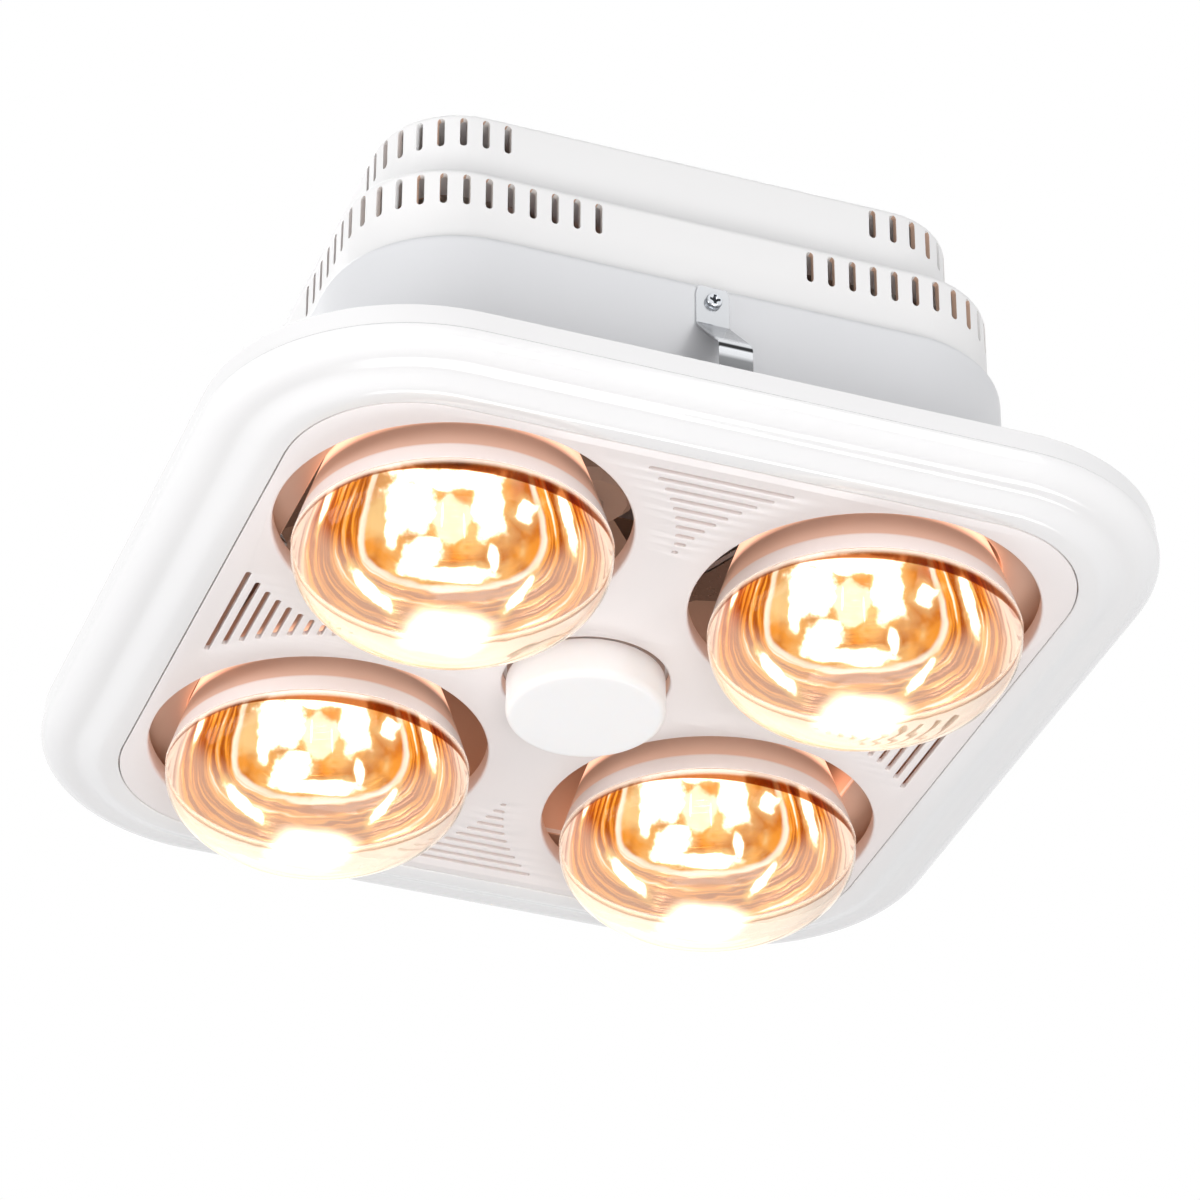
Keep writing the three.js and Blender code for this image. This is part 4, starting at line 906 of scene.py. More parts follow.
def finish_piece(
    name: str, mesh: bpy.types.Mesh, material: bpy.types.Material, crease: float
) -> bpy.types.Object:
    """Shades a mesh, gives it a material and links it to the scene.

    Args:
        name: Name of the piece.
        mesh: Its mesh.
        material: Its material.
        crease: Angle over which an edge stays sharp.

    Returns:
        The new object.
    """
    mesh.polygons.foreach_set("use_smooth", [True] * len(mesh.polygons))
    mesh.set_sharp_from_angle(angle=math.radians(crease))
    mesh.materials.clear()
    mesh.materials.append(material)
    piece = bpy.data.objects.new(name, mesh)
    bpy.context.scene.collection.objects.link(piece)
    return piece


def sharpen_rims(piece: bpy.types.Object) -> None:
    """Keeps the open edges of a sheet sharp once it has a thickness.

    Args:
        piece: The piece.
    """
    work = bmesh.new()
    work.from_mesh(piece.data)
    for edge in work.edges:
        if edge.is_boundary:
            edge.smooth = False
    work.to_mesh(piece.data)
    work.free()


def round_edges(
    piece: bpy.types.Object, width: float, angle: float = 40.0, even: bool = True
) -> None:
    """Rounds a piece's sharp edges with a bevel.

    Args:
        piece: The piece.
        width: Width of the rounding.
        angle: Angle over which an edge is rounded.
        even: Whether flat faces keep their shading beside the rounding.
    """
    bevel = piece.modifiers.new("rounding", "BEVEL")
    bevel.width = width * MM
    bevel.segments = 2
    bevel.limit_method = "ANGLE"
    bevel.angle_limit = math.radians(angle)
    bevel.harden_normals = even


def loft(rings: list[Ring], closed: bool = False, capped: bool = True) -> Skin:
    """Joins rings of equal count into a skin.

    Args:
        rings: The rings in order.
        closed: Whether the last ring joins the first.
        capped: Whether the first and last rings are filled.

    Returns:
        Points and faces.
    """
    count = len(rings[0])
    points = [point for ring in rings for point in ring]
    faces = []
    for i in range(len(rings) if closed else len(rings) - 1):
        here, following = i * count, ((i + 1) % len(rings)) * count
        for j in range(count):
            k = (j + 1) % count
            faces.append((here + j, here + k, following + k, following + j))
    if capped and not closed:
        last = (len(rings) - 1) * count
        faces.append(tuple(reversed(range(count))))
        faces.append(tuple(range(last, last + count)))
    return points, faces


def rounded_square(half: float, corner: float, height: float, steps: int = 18) -> Ring:
    """Gives a rounded square's ring.

    Args:
        half: Half the width.
        corner: Corner radius.
        height: Height of the ring.
        steps: Facets of a corner.

    Returns:
        The ring's points.
    """
    ring = []
    for quarter in range(4):
        start = quarter * math.pi / 2
        across = math.copysign(half - corner, math.cos(start + math.pi / 4))
        along = math.copysign(half - corner, math.sin(start + math.pi / 4))
        for step in range(steps + 1):
            angle = start + step / steps * math.pi / 2
            ring.append(
                (across + corner * math.cos(angle), along + corner * math.sin(angle), height)
            )
    return ring


def lathe(profile: Profile, segments: int = 72, closed: bool = False) -> Skin:
    """Turns a profile about the Z axis.

    Args:
        profile: Points of radius and height.
        segments: Steps round the axis.
        closed: Whether the profile closes on itself.

    Returns:
        Points and faces.
    """
    turns = [step * math.tau / segments for step in range(segments)]
    rings = [
        [(radius * math.cos(turn), radius * math.sin(turn), height) for turn in turns]
        for radius, height in profile
    ]
    return loft(rings, closed=closed, capped=not closed)


def arc(centre: Spot, radii: Spot, start: float, end: float, steps: int) -> Profile:
    """Gives points of an elliptic arc.

    Args:
        centre: Centre of the ellipse.
        radii: Radii across and up.
        start: First angle.
        end: Last angle.
        steps: Facets of the arc.

    Returns:
        The arc's points.
    """
    turns = [math.radians(start + (end - start) * i / steps) for i in range(steps + 1)]
    return [
        (centre[0] + radii[0] * math.cos(turn), centre[1] + radii[1] * math.sin(turn))
        for turn in turns
    ]


def s_curve(first: Spot, last: Spot, steps: int) -> Profile:
    """Gives a smooth step between two levels.

    Args:
        first: Where the curve starts, flat.
        last: Where it ends, flat.
        steps: Facets of the curve.

    Returns:
        The curve's points.
    """
    shares = [i / steps for i in range(steps + 1)]
    return [
        (first[0] + (last[0] - first[0]) * share,
         first[1] + (last[1] - first[1]) * share * share * (3 - 2 * share))
        for share in shares
    ]


def tube(path: list[Point], radius: float, sides: int) -> Skin:
    """Sweeps a round bar along a path.

    Args:
        path: Points of the path.
        radius: Radius of the bar.
        sides: Facets round the bar.

    Returns:
        Points and faces.
    """
    rings = []
    upright = Vector((0.0, 0.0, 1.0))
    for i, spot in enumerate(path):
        before = Vector(path[max(i - 1, 0)])
        after = Vector(path[min(i + 1, len(path) - 1)])
        along = (after - before).normalized()
        aside = along.cross(upright)
        aside = aside.normalized() if aside.length > 1e-3 else Vector((1.0, 0.0, 0.0))
        over = aside.cross(along)
        rings.append([
            tuple(Vector(spot) + radius * (aside * math.cos(turn) + over * math.sin(turn)))
            for turn in (math.tau * side / sides for side in range(sides))
        ])
    return loft(rings)


def pan_head(
    name: str, radius: float, height: float, material: bpy.types.Material
) -> bpy.types.Object:
    """Builds a pan head with a crossed recess and its shank; its face looks along -Z.

    Args:
        name: Name of the piece.
        radius: Radius of the head.
        height: Height of the head.
        material: Material of the screw.

    Returns:
        The screw's object.
    """
    shank, length, point = 1.8, 9.0, 11.5
    slot, arm, deep, drawn_in = 0.55, radius * 0.56, height * 0.55, 0.7
    outline = [(slot, slot), (slot, arm), (-slot, arm), (-slot, slot), (-arm, slot),
               (-arm, -slot), (-slot, -slot), (-slot, -arm), (slot, -arm), (slot, -slot),
               (arm, -slot), (arm, slot)]
    angles = [math.atan2(y, x) for x, y in outline]
    rings = [[(x * drawn_in, y * drawn_in, deep - height) for x, y in outline],
             [(x, y, -height) for x, y in outline]]
    dome = [(radius * 0.72, -height), (radius * 0.9, -height * 0.82), (radius, -height * 0.45),
            (radius, 0.0), (shank, 0.0), (shank, length), (shank * 0.3, point)]
    for reach, level in dome:
        rings.append([
            (reach * math.cos(angle), reach * math.sin(angle), level) for angle in angles
        ])
    head = make_piece(name, loft(rings), material, 40.0)
    rounding = head.modifiers.new("rounding", "SUBSURF")
    rounding.levels = rounding.render_levels = 1
    return head


# ------------------------------------------------------------------ fascia


@dataclass
class Fascia:
    """The glossy border with its rim, bullnose, cove and ridge.

    Attributes:
        half: Half the overall width.
        corner: Outer corner radius.
        depth: Ceiling plane to the panel's face.
        bull: Width and height of the bullnose.
        rim: Height of the rim above the bullnose.
        step: How far the rim stands in.
        ridge: Distances from the centre where the ridge starts and ends.
        inner: Half width of the panel's opening.
        edge: Radius of the opening's edge.
        skin: Wall thickness.
        ledge: Underside, top and width of the ledge that backs the panel.
        wall_top: Height of the wall round the opening.
        painted_shade_from: Height above which the inner side gets the painted warm shade.
    """

    half: float = 195.0
    corner: float = 84.0
    depth: float = 22.0
    bull: Spot = (12.0, 8.8)
    rim: float = 8.6
    step: float = 0.7
    ridge: Spot = (181.5, 169.0)
    inner: float = 162.3
    edge: float = 0.5
    skin: float = 2.5
    ledge: Triple = (-19.2, -17.2, 3.3)
    wall_top: float = -6.0
    painted_shade_from: float = -19.4

    def section(self) -> Profile:
        """Draws the border's closed section.

        Returns:
            Points of distance from the centre and height.
        """
        shoulder = -self.rim - self.step
        cove = shoulder - self.bull[1]
        centre = (self.half - self.bull[0], shoulder)
        rim = self.half - self.step
        start, end = self.ridge
        turned = (self.inner + self.edge, self.edge - self.depth)
        face = [(rim, 0.0), (rim, 0.3 - self.rim), (rim, -self.rim)]
        face += arc(centre, self.bull, 0, -90, 16)
        face += s_curve((start, cove - 0.1), (end, -self.depth), 14)
        face += [(self.inner + self.edge, -self.depth)]
        face += arc(turned, (self.edge, self.edge), -90, -180, 3)
        low, high, width = self.ledge
        behind = self.skin - self.depth
        back = [
            (self.inner, low), (self.inner - width, low), (self.inner - width, high),
            (self.inner, high), (self.inner, self.wall_top),
            (self.inner + self.skin, self.wall_top), (self.inner + self.skin, behind),
            (end, behind), (start, cove + self.skin),
        ]
        slim = (self.bull[0] - self.skin, self.bull[1] - self.skin)
        back += arc(centre, slim, -90, 0, 8)[:-1]
        back += [(rim - self.skin, shoulder), (rim - self.skin, 0.0)]
        return face + back

    def build(self) -> bpy.types.Object:
        """Builds the border.

        Returns:
            The border's object.
        """
        offset = self.half - self.corner
        rings = [rounded_square(far, far - offset, height, 28) for far, height in self.section()]
        # The border's inward-looking side gets the painted warm shade.
        gloss = with_painted_inner_shade(GLOSS_WHITE, "fascia_gloss", self.painted_shade_from)
        border = make_piece("fascia_border", loft(rings, closed=True), gloss)
        round_edges(border, 0.25)
        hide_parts("fascia_frame")
        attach(border, UNIT)
        return border


@dataclass
class Panel:
    """The satin panel with lamp openings, light opening and louvres.

    Attributes:
        half: Half the panel's width.
        corner: Its corner radius.
        face: Height of its face.
        thickness: Its thickness.
        lip: Radius of the plate's edges.
        lamp_offset: Lamp axis from the centre.
        lamp_hole: Radius of a lamp opening.
        light_hole: Radius of the light opening.
        roll: Radius of the openings' rolled edge.
        collar: Height of the collars and their wall.
        chamfer: Chamfer of a collar's top, and how far its foot reaches under the plate.
        sunk: How far a collar's foot lies inside the plate's back and face.
        louvres: Count, first distance, pitch, width and margin of the slots.
        gap: Heights above the face where the painted glow in the light's gap starts and is full.
        gap_painted_glow: Colour and strength of that painted glow.
    """

    half: float = 161.8
    corner: float = 50.8
    face: float = -22.0
    thickness: float = 2.5
    lip: float = 0.35
    lamp_offset: float = 86.0
    lamp_hole: float = 70.0
    light_hole: float = 34.0
    roll: float = 1.2
    collar: Spot = (8.0, 2.0)
    chamfer: float = 0.4
    sunk: Spot = (0.2, 0.02)
    louvres: tuple[int, float, float, float, float] = (10, 151.0, 5.6, 2.3, 16.0)
    gap: Spot = (0.5, 2.5)
    gap_painted_glow: tuple[Colour, float] = ((0.50, 0.25, 0.16), 0.55)

    def lamps(self) -> list[Spot]:
        """Gives the lamps' four axes in plan."""
        far = self.lamp_offset
        return [(-far, -far), (far, -far), (-far, far), (far, far)]

    def slots(self) -> list[Profile]:
        """Draws the outlines of the louvre slots.

        Returns:
            Closed outlines in plan, clockwise.
        """
        count, first, pitch, width, margin = self.louvres
        keep_out = self.lamp_hole + margin
        outlines = []
        for i in range(count):
            place = first - i * pitch
            reach = math.sqrt(max(keep_out**2 - (place - self.lamp_offset) ** 2, 0.0))
            length = max(self.lamp_offset - reach, width / 2)
            radius = width / 2 - 0.05
            ends = []
            for sign, turn in ((1, 90), (-1, -90)):
                centre = (place, sign * (length - radius))
                ends += arc(centre, (radius, radius), turn + 90, turn - 90, 6)
            for quarter in range(4):
                spin = Matrix.Rotation(quarter * math.pi / 2, 2)
                outlines.append([tuple(spin @ Vector(point)) for point in ends])
        return outlines

    def outline(self) -> bpy.types.Curve:
        """Draws the plate's edge and all its openings as one filled curve.

        Returns:
            The curve, in metres.
        """
        curve = bpy.data.curves.new("panel_outline", "CURVE")
        curve.dimensions = "2D"
        curve.fill_mode = "BOTH"
        curve.extrude = (self.thickness / 2 - self.lip) * MM
        curve.bevel_depth = self.lip * MM
        curve.bevel_resolution = 2
        curve.offset = -self.lip * MM
        outlines = [[(x, y) for x, y, _ in rounded_square(self.half, self.corner, 0.0, 28)]]
        rolled = [(self.lamp_hole, place) for place in self.lamps()]
        for radius, place in [*rolled, (self.light_hole, (0.0, 0.0))]:
            wide = radius + self.roll
            outlines.append(arc(place, (wide, wide), 360, 0, 96)[:-1])
        for outline in outlines + self.slots():
            spline = curve.splines.new("POLY")
            spline.points.add(len(outline) - 1)
            for spot, (x, y) in zip(spline.points, outline):
                spot.co = (x * MM, y * MM, 0.0, 1.0)
            spline.use_cyclic_u = True
        return curve

    def plate(self, material: bpy.types.Material) -> bpy.types.Object:
        """Builds the flat plate with all its openings.

        Args:
            material: The panel's material.

        Returns:
            The plate's object.
        """
        holder = bpy.data.objects.new("panel_outline", self.outline())
        bpy.context.scene.collection.objects.link(holder)
        bpy.context.view_layer.update()
        seen = holder.evaluated_get(bpy.context.evaluated_depsgraph_get())
        mesh = bpy.data.meshes.new_from_object(seen)
        bpy.data.objects.remove(holder)
        middle = (self.face + self.thickness / 2) * MM
        mesh.transform(Matrix.Translation((0.0, 0.0, middle)))
        work = bmesh.new()
        work.from_mesh(mesh)
        bmesh.ops.remove_doubles(work, verts=work.verts, dist=WELD)
        bmesh.ops.recalc_face_normals(work, faces=work.faces)
        work.to_mesh(mesh)
        work.free()
        return finish_piece("louvre_panel", mesh, material, 40.0)

    def ring(
        self, name: str, radius: float, place: Spot, material: bpy.types.Material
    ) -> bpy.types.Object:
        """Builds the collar of one opening with its rolled edge.

        Args:
            name: Name of the collar.
            radius: Radius of the opening.
            place: Its centre in plan.
            material: The panel's material.

        Returns:
            The collar's object.
        """
        height, wall = self.collar
        top = self.face + height
        back = self.face + self.thickness - self.sunk[0]
        foot = radius + self.roll + self.chamfer
        edge = (radius + self.roll, self.face + self.roll)
        profile = arc(edge, (self.roll, self.roll), -90, -180, 6)
        profile += [(radius, top - self.chamfer), (radius + self.chamfer, top),
                    (radius + wall, top), (radius + wall, back), (foot, back),
                    (foot, self.face + self.sunk[1])]
        points, faces = lathe(profile, 128, closed=True)
        moved = [(x + place[0], y + place[1], z) for x, y, z in points]
        return make_piece(name, (moved, faces), material, 50.0)

    def painted_glow_collar(self) -> bpy.types.Material:
        """Builds the light collar's material, with a dim warm glow painted in the gap round the cover
        in place of the light that falls there.

        Returns:
            The collar's material.
        """
        material = SATIN_WHITE.material("panel_painted_glow")
        tree = NodeTree(material)
        start, end = (self.face + above for above in self.gap)
        colour, strength = self.gap_painted_glow
        # Painted light: a warm glow on the collar's inner wall above the face.
        lit = tree.place().height.fade(start, end, 0.0, strength)
        tree.surface({"Emission Color": tree.mix(lit, BLACK, colour), "Emission Strength": 1.0})
        return material

    def build(self) -> list[bpy.types.Object]:
        """Builds the panel and its collars.

        Returns:
            The panel's objects.
        """
        material = SATIN_WHITE.material("panel_satin")
        pieces = [self.plate(material)]
        for i, place in enumerate(self.lamps(), 1):
            pieces.append(self.ring(f"lamp_collar_{i}", self.lamp_hole, place, material))
        pieces.append(self.ring("light_collar", self.light_hole, (0.0, 0.0), self.painted_glow_collar()))
        for piece in pieces:
            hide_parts("grille_panel")
            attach(piece, UNIT)
        return pieces


# ------------------------------------------------------------------ housing


@dataclass
class Tier:
    """One storey of the housing.

    Attributes:
        name: Name of the piece.
        half: Half its width.
        corner: Corner radius.
        bottom: Height where its wall starts.
        top: Height of its flat top.
        ledge: Width of the flat top, or 0 where it is closed.
        vents: Number of vents round each corner.
        low: Height of the vents' lower ends.
        high: Height of their upper ends.
        shoulder: Radius of the rounded top edge; the vents end below it.
        fillet: Radius at the foot of the wall.
        pitch: Distance between vents.
        width: Width of a vent.
        wall: Wall thickness.
        apart: Least distance between a column of points and a vent's.
    """

    name: str
    half: float
    corner: float
    bottom: float
    top: float
    ledge: float = 0.0
    vents: int = 0
    low: float = 0.0
    high: float = 0.0
    shoulder: float = 4.5
    fillet: float = 1.0
    pitch: float = 9.15
    width: float = 3.0
    wall: float = 2.5
    apart: float = 1.7

    def place(self, run: float, inset: float) -> Spot:
        """Finds a spot on the wall.

        Args:
            run: Distance along the wall from the middle of the +X side.
            inset: Distance inwards from the wall.

        Returns:
            The spot in plan, in the first quarter.
        """
        straight = self.half - self.corner
        bend = self.corner * math.pi / 2
        if run <= straight:
            return self.half - inset, run
        if run <= straight + bend:
            turn = (run - straight) / self.corner
            reach = self.corner - inset
            return straight + reach * math.cos(turn), straight + reach * math.sin(turn)
        return straight - (run - straight - bend), self.half - inset

    def columns(self) -> list[tuple[float, float | None]]:
        """Lists where the wall's columns stand in a quarter.

        Returns:
            Pairs of the run and, in a vent, the share of its half width.
        """
        straight = self.half - self.corner
        bend = self.corner * math.pi / 2
        length = 2 * straight + bend
        found: list[tuple[float, float | None]] = []
        for i in range(self.vents):
            middle = length / 2 + (i - (self.vents - 1) / 2) * self.pitch
            for share in (-1.0, -0.8, -0.4, 0.0, 0.4, 0.8, 1.0):
                found.append((middle + share * self.width / 2, share))
        taken = [run for run, _ in found]
        free = [straight + bend * i / 20 for i in range(21)]
        free += [straight * i / 4 for i in range(4)]
        free += [length - straight * i / 4 for i in range(1, 4)]
        for run in free:
            if all(abs(run - other) > self.apart for other in taken):
                found.append((run, None))
        return sorted(found, key=lambda column: column[0])

    def levels(self) -> tuple[Profile, int]:
        """Lists the rows of the wall from below: fillet, vents, shoulder and flat top.

        Returns:
            Pairs of inset and height, and the row where the vents start, or -1.
        """
        small = self.fillet * 0.3
        rows = [(-self.fillet, self.bottom), (-small, self.bottom + small),
                (0.0, self.bottom + self.fillet)]
        first = -1
        if self.vents:
            first = len(rows)
            rows += [(0.0, self.low), (0.0, self.high)]
        for lean, drop in arc((0.0, 0.0), (self.shoulder, self.shoulder), 0, 90, 8):
            rows.append((self.shoulder - lean, self.top - self.shoulder + drop))
        rows.append((self.shoulder + max(self.ledge, 1.0), self.top))
        return rows, first

    def arch(self, row: int, share: float | None) -> float:
        """Gives the rise or drop of a vent's rounded end.

        Args:
            row: 0 at the vent's lower end and 1 at its upper end.
            share: Share of the vent's half width, or None outside a vent.

        Returns:
            The height to add.
        """
        if share is None or not self.vents or row not in (0, 1):
            return 0.0
        bow = self.width / 2 * (1 - math.sqrt(max(1 - share * share, 0.0)))
        return bow if row == 0 else -bow

    def skin(self) -> Skin:
        """Lofts the storey's outer face and leaves its vents open.

        Returns:
            Points and faces.
        """
        columns = self.columns()
        levels, first = self.levels()
        rings = []
        for row, (inset, height) in enumerate(levels):
            ring = []
            for quarter in range(4):
                spin = Matrix.Rotation(quarter * math.pi / 2, 2)
                for run, share in columns:
                    x, y = spin @ Vector(self.place(run, inset))
                    ring.append((x, y, height + self.arch(row - first, share)))
            rings.append(ring)
        points, faces = loft(rings, capped=False)
        count = len(rings[0])
        gaps = set()
        for j in range(count):
            here = columns[j % len(columns)][1]
            following = columns[(j + 1) % len(columns)][1]
            if here is not None and following is not None and here < following:
                gaps.add(first * count + j)
        faces = [face for i, face in enumerate(faces) if i not in gaps]
        if not self.ledge:
            faces.append(tuple(range(len(points) - count, len(points))))
        return points, faces

    def build(self, material: bpy.types.Material) -> bpy.types.Object:
        """Builds the storey.

        Args:
            material: Material of the housing.

        Returns:
            The storey's object.
        """
        piece = make_piece(self.name, self.skin(), material, 38.0, closed=False)
        sharpen_rims(piece)
        shell = piece.modifiers.new("wall", "SOLIDIFY")
        shell.thickness = self.wall * MM
        shell.offset = -1.0
        shell.use_even_offset = True
        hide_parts("housing")
        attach(piece, UNIT)
        return piece


@dataclass
class Housing:
    """The three storeys and the base flange.

    Attributes:
        tiers: The storeys from below.
        flange: Half width, corner radius, underside and top of the flange.
        lap: How far the flange reaches under the lowest wall.
    """

    tiers: tuple[Tier, ...] = (
        Tier("housing_lower", 143.0, 55.0, -3.4, 79.0, ledge=5.0),
        Tier("housing_middle", 136.5, 43.0, 79.0, 115.0, ledge=12.0, vents=19, low=96.3,
             high=111.1, shoulder=3.8),
        Tier("housing_upper", 123.0, 36.0, 115.0, 154.0, vents=9, low=137.2, high=151.2,
             shoulder=2.6),
    )
    flange: tuple[float, float, float, float] = (176.0, 65.0, -5.7, -3.2)
    lap: float = 2.4

    def base(self) -> bpy.types.Object:
        """Builds the flange under the lowest storey.

        Returns:
            The flange's object.
        """
        half, corner, low, high = self.flange
        inner = (self.tiers[0].half - self.lap, self.tiers[0].corner - self.lap)
        rings = [rounded_square(*inner, low), rounded_square(half, corner, low),
                 rounded_square(half, corner, high), rounded_square(*inner, high)]
        # The flange's underside gets the painted warm shade.
        sheet = with_painted_inner_shade(GREYER_SHEET, "housing_base", low - 1.0, underside=True)
        base = make_piece("housing_flange", loft(rings, closed=True), sheet)
        round_edges(base, 0.5)
        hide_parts("housing")
        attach(base, UNIT)
        return base

    def build(self) -> list[bpy.types.Object]:
        """Builds the housing's pieces.

        Returns:
            The housing's objects.
        """
        # The storeys' inward-looking sides get the painted warm shade.
        white = with_painted_inner_shade(HOUSING_WHITE, "housing_white", self.flange[3])
        sheet = with_painted_inner_shade(GREYER_SHEET, "housing_sheet", self.flange[3])
        pieces = [tier.build(white if tier.vents else sheet) for tier in self.tiers]
        return [*pieces, self.base()]


# ------------------------------------------------------------------ heat lamps


@dataclass
class HeatLamp:
    """A reflector lamp: pressed front glass, silvered shell, gilt mirror, cap and filament.

    Attributes:
        radius: Radius at the widest circle.
        wide: Height of the widest circle.
        dome: Depth of the front glass below it.
        power: Fullness of the front glass.
        length: Length of the reflector above the widest circle.
        neck: Radius of the neck.
        throat: Radius and height of the neck's narrow end.
        wall: Thickness of the glass.
        silver: Depths below the surface where the shell ends and the mirror starts.
        cap: Lower end, upper end and radius of the cap.
        thread: Depth, pitch between points and number of points of the cap's thread.
        seam: Gap between the front glass and the shell.
        frost: Height where the frosted rim gives way to silvering.
        coil: Turns, drop below the cap, reach, radius and share of a circle of the filament.
        wire_radius: Radius of the filament's wire.
    """

    radius: float = 62.5
    wide: float = -32.0
    dome: float = 33.5
    power: float = 2.3
    length: float = 95.0
    neck: float = 20.0
    throat: Spot = (16.8, 78.0)
    wall: float = 1.2
    silver: Spot = (0.5, 0.7)
    cap: Triple = (89.5, 115.5, 13.4)
    thread: tuple[float, float, int] = (0.45, 0.42, 33)
    seam: float = 0.5
    frost: float = -24.0
    coil: tuple[int, float, float, float, float] = (46, 46.0, 12.0, 0.9, 0.92)
    wire_radius: float = 0.28

    def looks(self) -> dict[str, bpy.types.Material]:
        """Builds the materials that all the lamps share.

        Returns:
            The materials by the name of the piece that wears them.
        """
        return {
            "front_glass": ClearFront(self.radius, self.wide).material("front_glass"),
            "gilt_mirror": GiltMirror().material("gilt_mirror"),
            "filament_wire": GlowingWire().material("glowing_wire"),
            "lamp_shell": LampSkin(self.frost).material("lamp_skin"),
            "screw_cap": BRASS.material("lamp_cap"),
            "lamp_stem": PORCELAIN.material("lamp_stem"),
        }

    def dome_profile(self, drawn_in: float, steps: int = 40) -> Profile:
        """Draws the front glass from its tip to the widest circle.

        Args:
            drawn_in: Distance inside the outer surface.
            steps: Facets of the curve.

        Returns:
            The profile.
        """
        profile = []
        for i in range(steps + 1):
            turn = i / steps * math.pi / 2
            across = math.sin(turn) ** (2 / self.power)
            down = max(math.cos(turn), 0.0) ** (2 / self.power)
            profile.append((
                (self.radius - drawn_in) * across,
                self.wide - self.seam - (self.dome - self.seam - drawn_in) * down,
            ))
        return profile

    def shell_profile(self, drawn_in: float, steps: int = 36) -> Profile:
        """Draws the reflector from the widest circle up to the neck's end.

        Args:
            drawn_in: Distance inside the outer surface.
            steps: Facets of the curve.

        Returns:
            The profile.
        """
        growth = (self.radius**2 - self.neck**2) / self.length
        profile = []
        for i in range(steps + 1):
            rise = self.length * i / steps
            reach = math.sqrt(self.neck**2 + growth * (self.length - rise))
            profile.append((reach - drawn_in, self.wide + rise))
        low, _, radius = self.cap
        narrow, height = self.throat
        return [*profile, (narrow - drawn_in, height), (radius - 2.0 - drawn_in, low + 1.0)]

    def cap_profile(self) -> Profile:
        """Draws the cap with its rounded thread, insulator and contact.

        Returns:
            The profile.
        """
        low, high, radius = self.cap
        depth, rise, count = self.thread
        inner, deck, first = radius - 1.2, low + 8.0, low + 4.0
        threads = [
            (radius - depth + depth * math.cos(i * math.pi / 4), first + i * rise)
            for i in range(count)
        ]
        return [(0.0, deck), (inner, deck), (inner, low), (radius, low), *threads,
                (9.0, high - 3.5), (8.0, high - 2.6), (5.0, high - 2.0), (4.6, high), (0.0, high)]

    def stem_profile(self) -> Profile:
        """Draws the glass stem with its pinch and flare.

        Returns:
            The profile.
        """
        low = self.cap[0]
        return [(0.0, low - 22.0), (4.2, low - 22.0), (4.5, low - 20.5), (3.3, low - 16.0),
                (3.3, low - 4.0), (8.8, low + 4.2), (9.0, low + 5.3), (0.0, low + 5.3)]

    def coil_path(self) -> list[Point]:
        """Draws the coiled filament on its supports.

        Returns:
            The wire's path.
        """
        turns, drop, reach, coil, share = self.coil
        steps = turns * 8
        path = []
        for i in range(steps + 1):
            round_axis = i / steps * math.tau * share
            twist = i / 8 * math.tau
            spread = reach + coil * math.cos(twist)
            path.append((spread * math.cos(round_axis), spread * math.sin(round_axis),
                         self.cap[0] - drop + coil * math.sin(twist)))
        return path

    def build(self, number: int, place: Spot, looks: dict[str, bpy.types.Material]) -> None:
        """Builds one lamp.

        Args:
            number: Number of the lamp.
            place: Its axis in plan.
            looks: The lamps' materials.
        """
        dome, shell = self.dome_profile, self.shell_profile
        back, front = self.silver
        glass = [*dome(0.0), *reversed(dome(self.wall / 2))]
        silvered = [*shell(0.0), *reversed(shell(back))]
        gilt = [*shell(front), *reversed(shell(self.wall))]
        for name, node, skin, crease in (
            ("front_glass", "lamp_glass", lathe(glass, 128), 60.0),
            ("lamp_shell", "lamp_glass", lathe(silvered, 128, closed=True), 60.0),
            ("gilt_mirror", "lamp_glass", lathe(gilt, 128, closed=True), 60.0),
            ("screw_cap", "lamp_cap", lathe(self.cap_profile(), 48), 50.0),
            ("filament_wire", "filament_mount", tube(self.coil_path(), self.wire_radius, 5), 70.0),
            ("lamp_stem", "filament_mount", lathe(self.stem_profile(), 40), 50.0),
        ):
            piece = make_piece(f"{name}_{number}", skin, looks[name], crease)
            self.settle(piece, place, f"{node}_{number}")

    def settle(self, piece: bpy.types.Object, place: Spot, node: str) -> None:
        """Puts a lamp's piece on its axis and ties it to the frame.

        Args:
            piece: The piece.
            place: The lamp's axis in plan.
            node: The node that it stands for.
        """
        piece.location = (place[0] * MM, place[1] * MM, 0.0)
        bpy.context.view_layer.update()
        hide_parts(node)
        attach(piece, UNIT)


# ------------------------------------------------------------------ centre light


@dataclass
class CentreLight:
    """The frosted cover of the centre light.

    Attributes:
        radius: Outer radius of the cover.
        face: Height of its face.
        height: Height of the cover.
        edge: Radius of its rounded edge.
        wall: Wall thickness.
        chamfer: Chamfer of its rim.
        flat: Width of the flat ring inside the rounded edge.
    """

    radius: float = 32.3
    face: float = -38.0
    height: float = 17.0
    edge: float = 3.0
    wall: float = 1.6
    chamfer: float = 0.3
    flat: float = 4.0

    def build(self) -> bpy.types.Object:
        """Builds the cover.

        Returns:
            The cover's object.
        """
        inside, bend = self.radius - self.wall, self.radius - self.edge
        top, back = self.face + self.height, self.face + self.wall
        turned = (bend, self.face + self.edge)
        profile = [(0.0, self.face), (bend - self.flat, self.face)]
        profile += arc(turned, (self.edge, self.edge), -90, 0, 10)
        profile += [(self.radius, top - self.chamfer), (self.radius - self.chamfer, top),
                    (inside, top), (inside, self.face + self.edge), (bend, back), (0.0, back)]
        cover = make_piece("opal_cover", lathe(profile, 96), OPAL.material("opal"), 50.0)
        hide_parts("light_cover")
        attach(cover, UNIT)
        return cover


# ------------------------------------------------------------------ spring clips


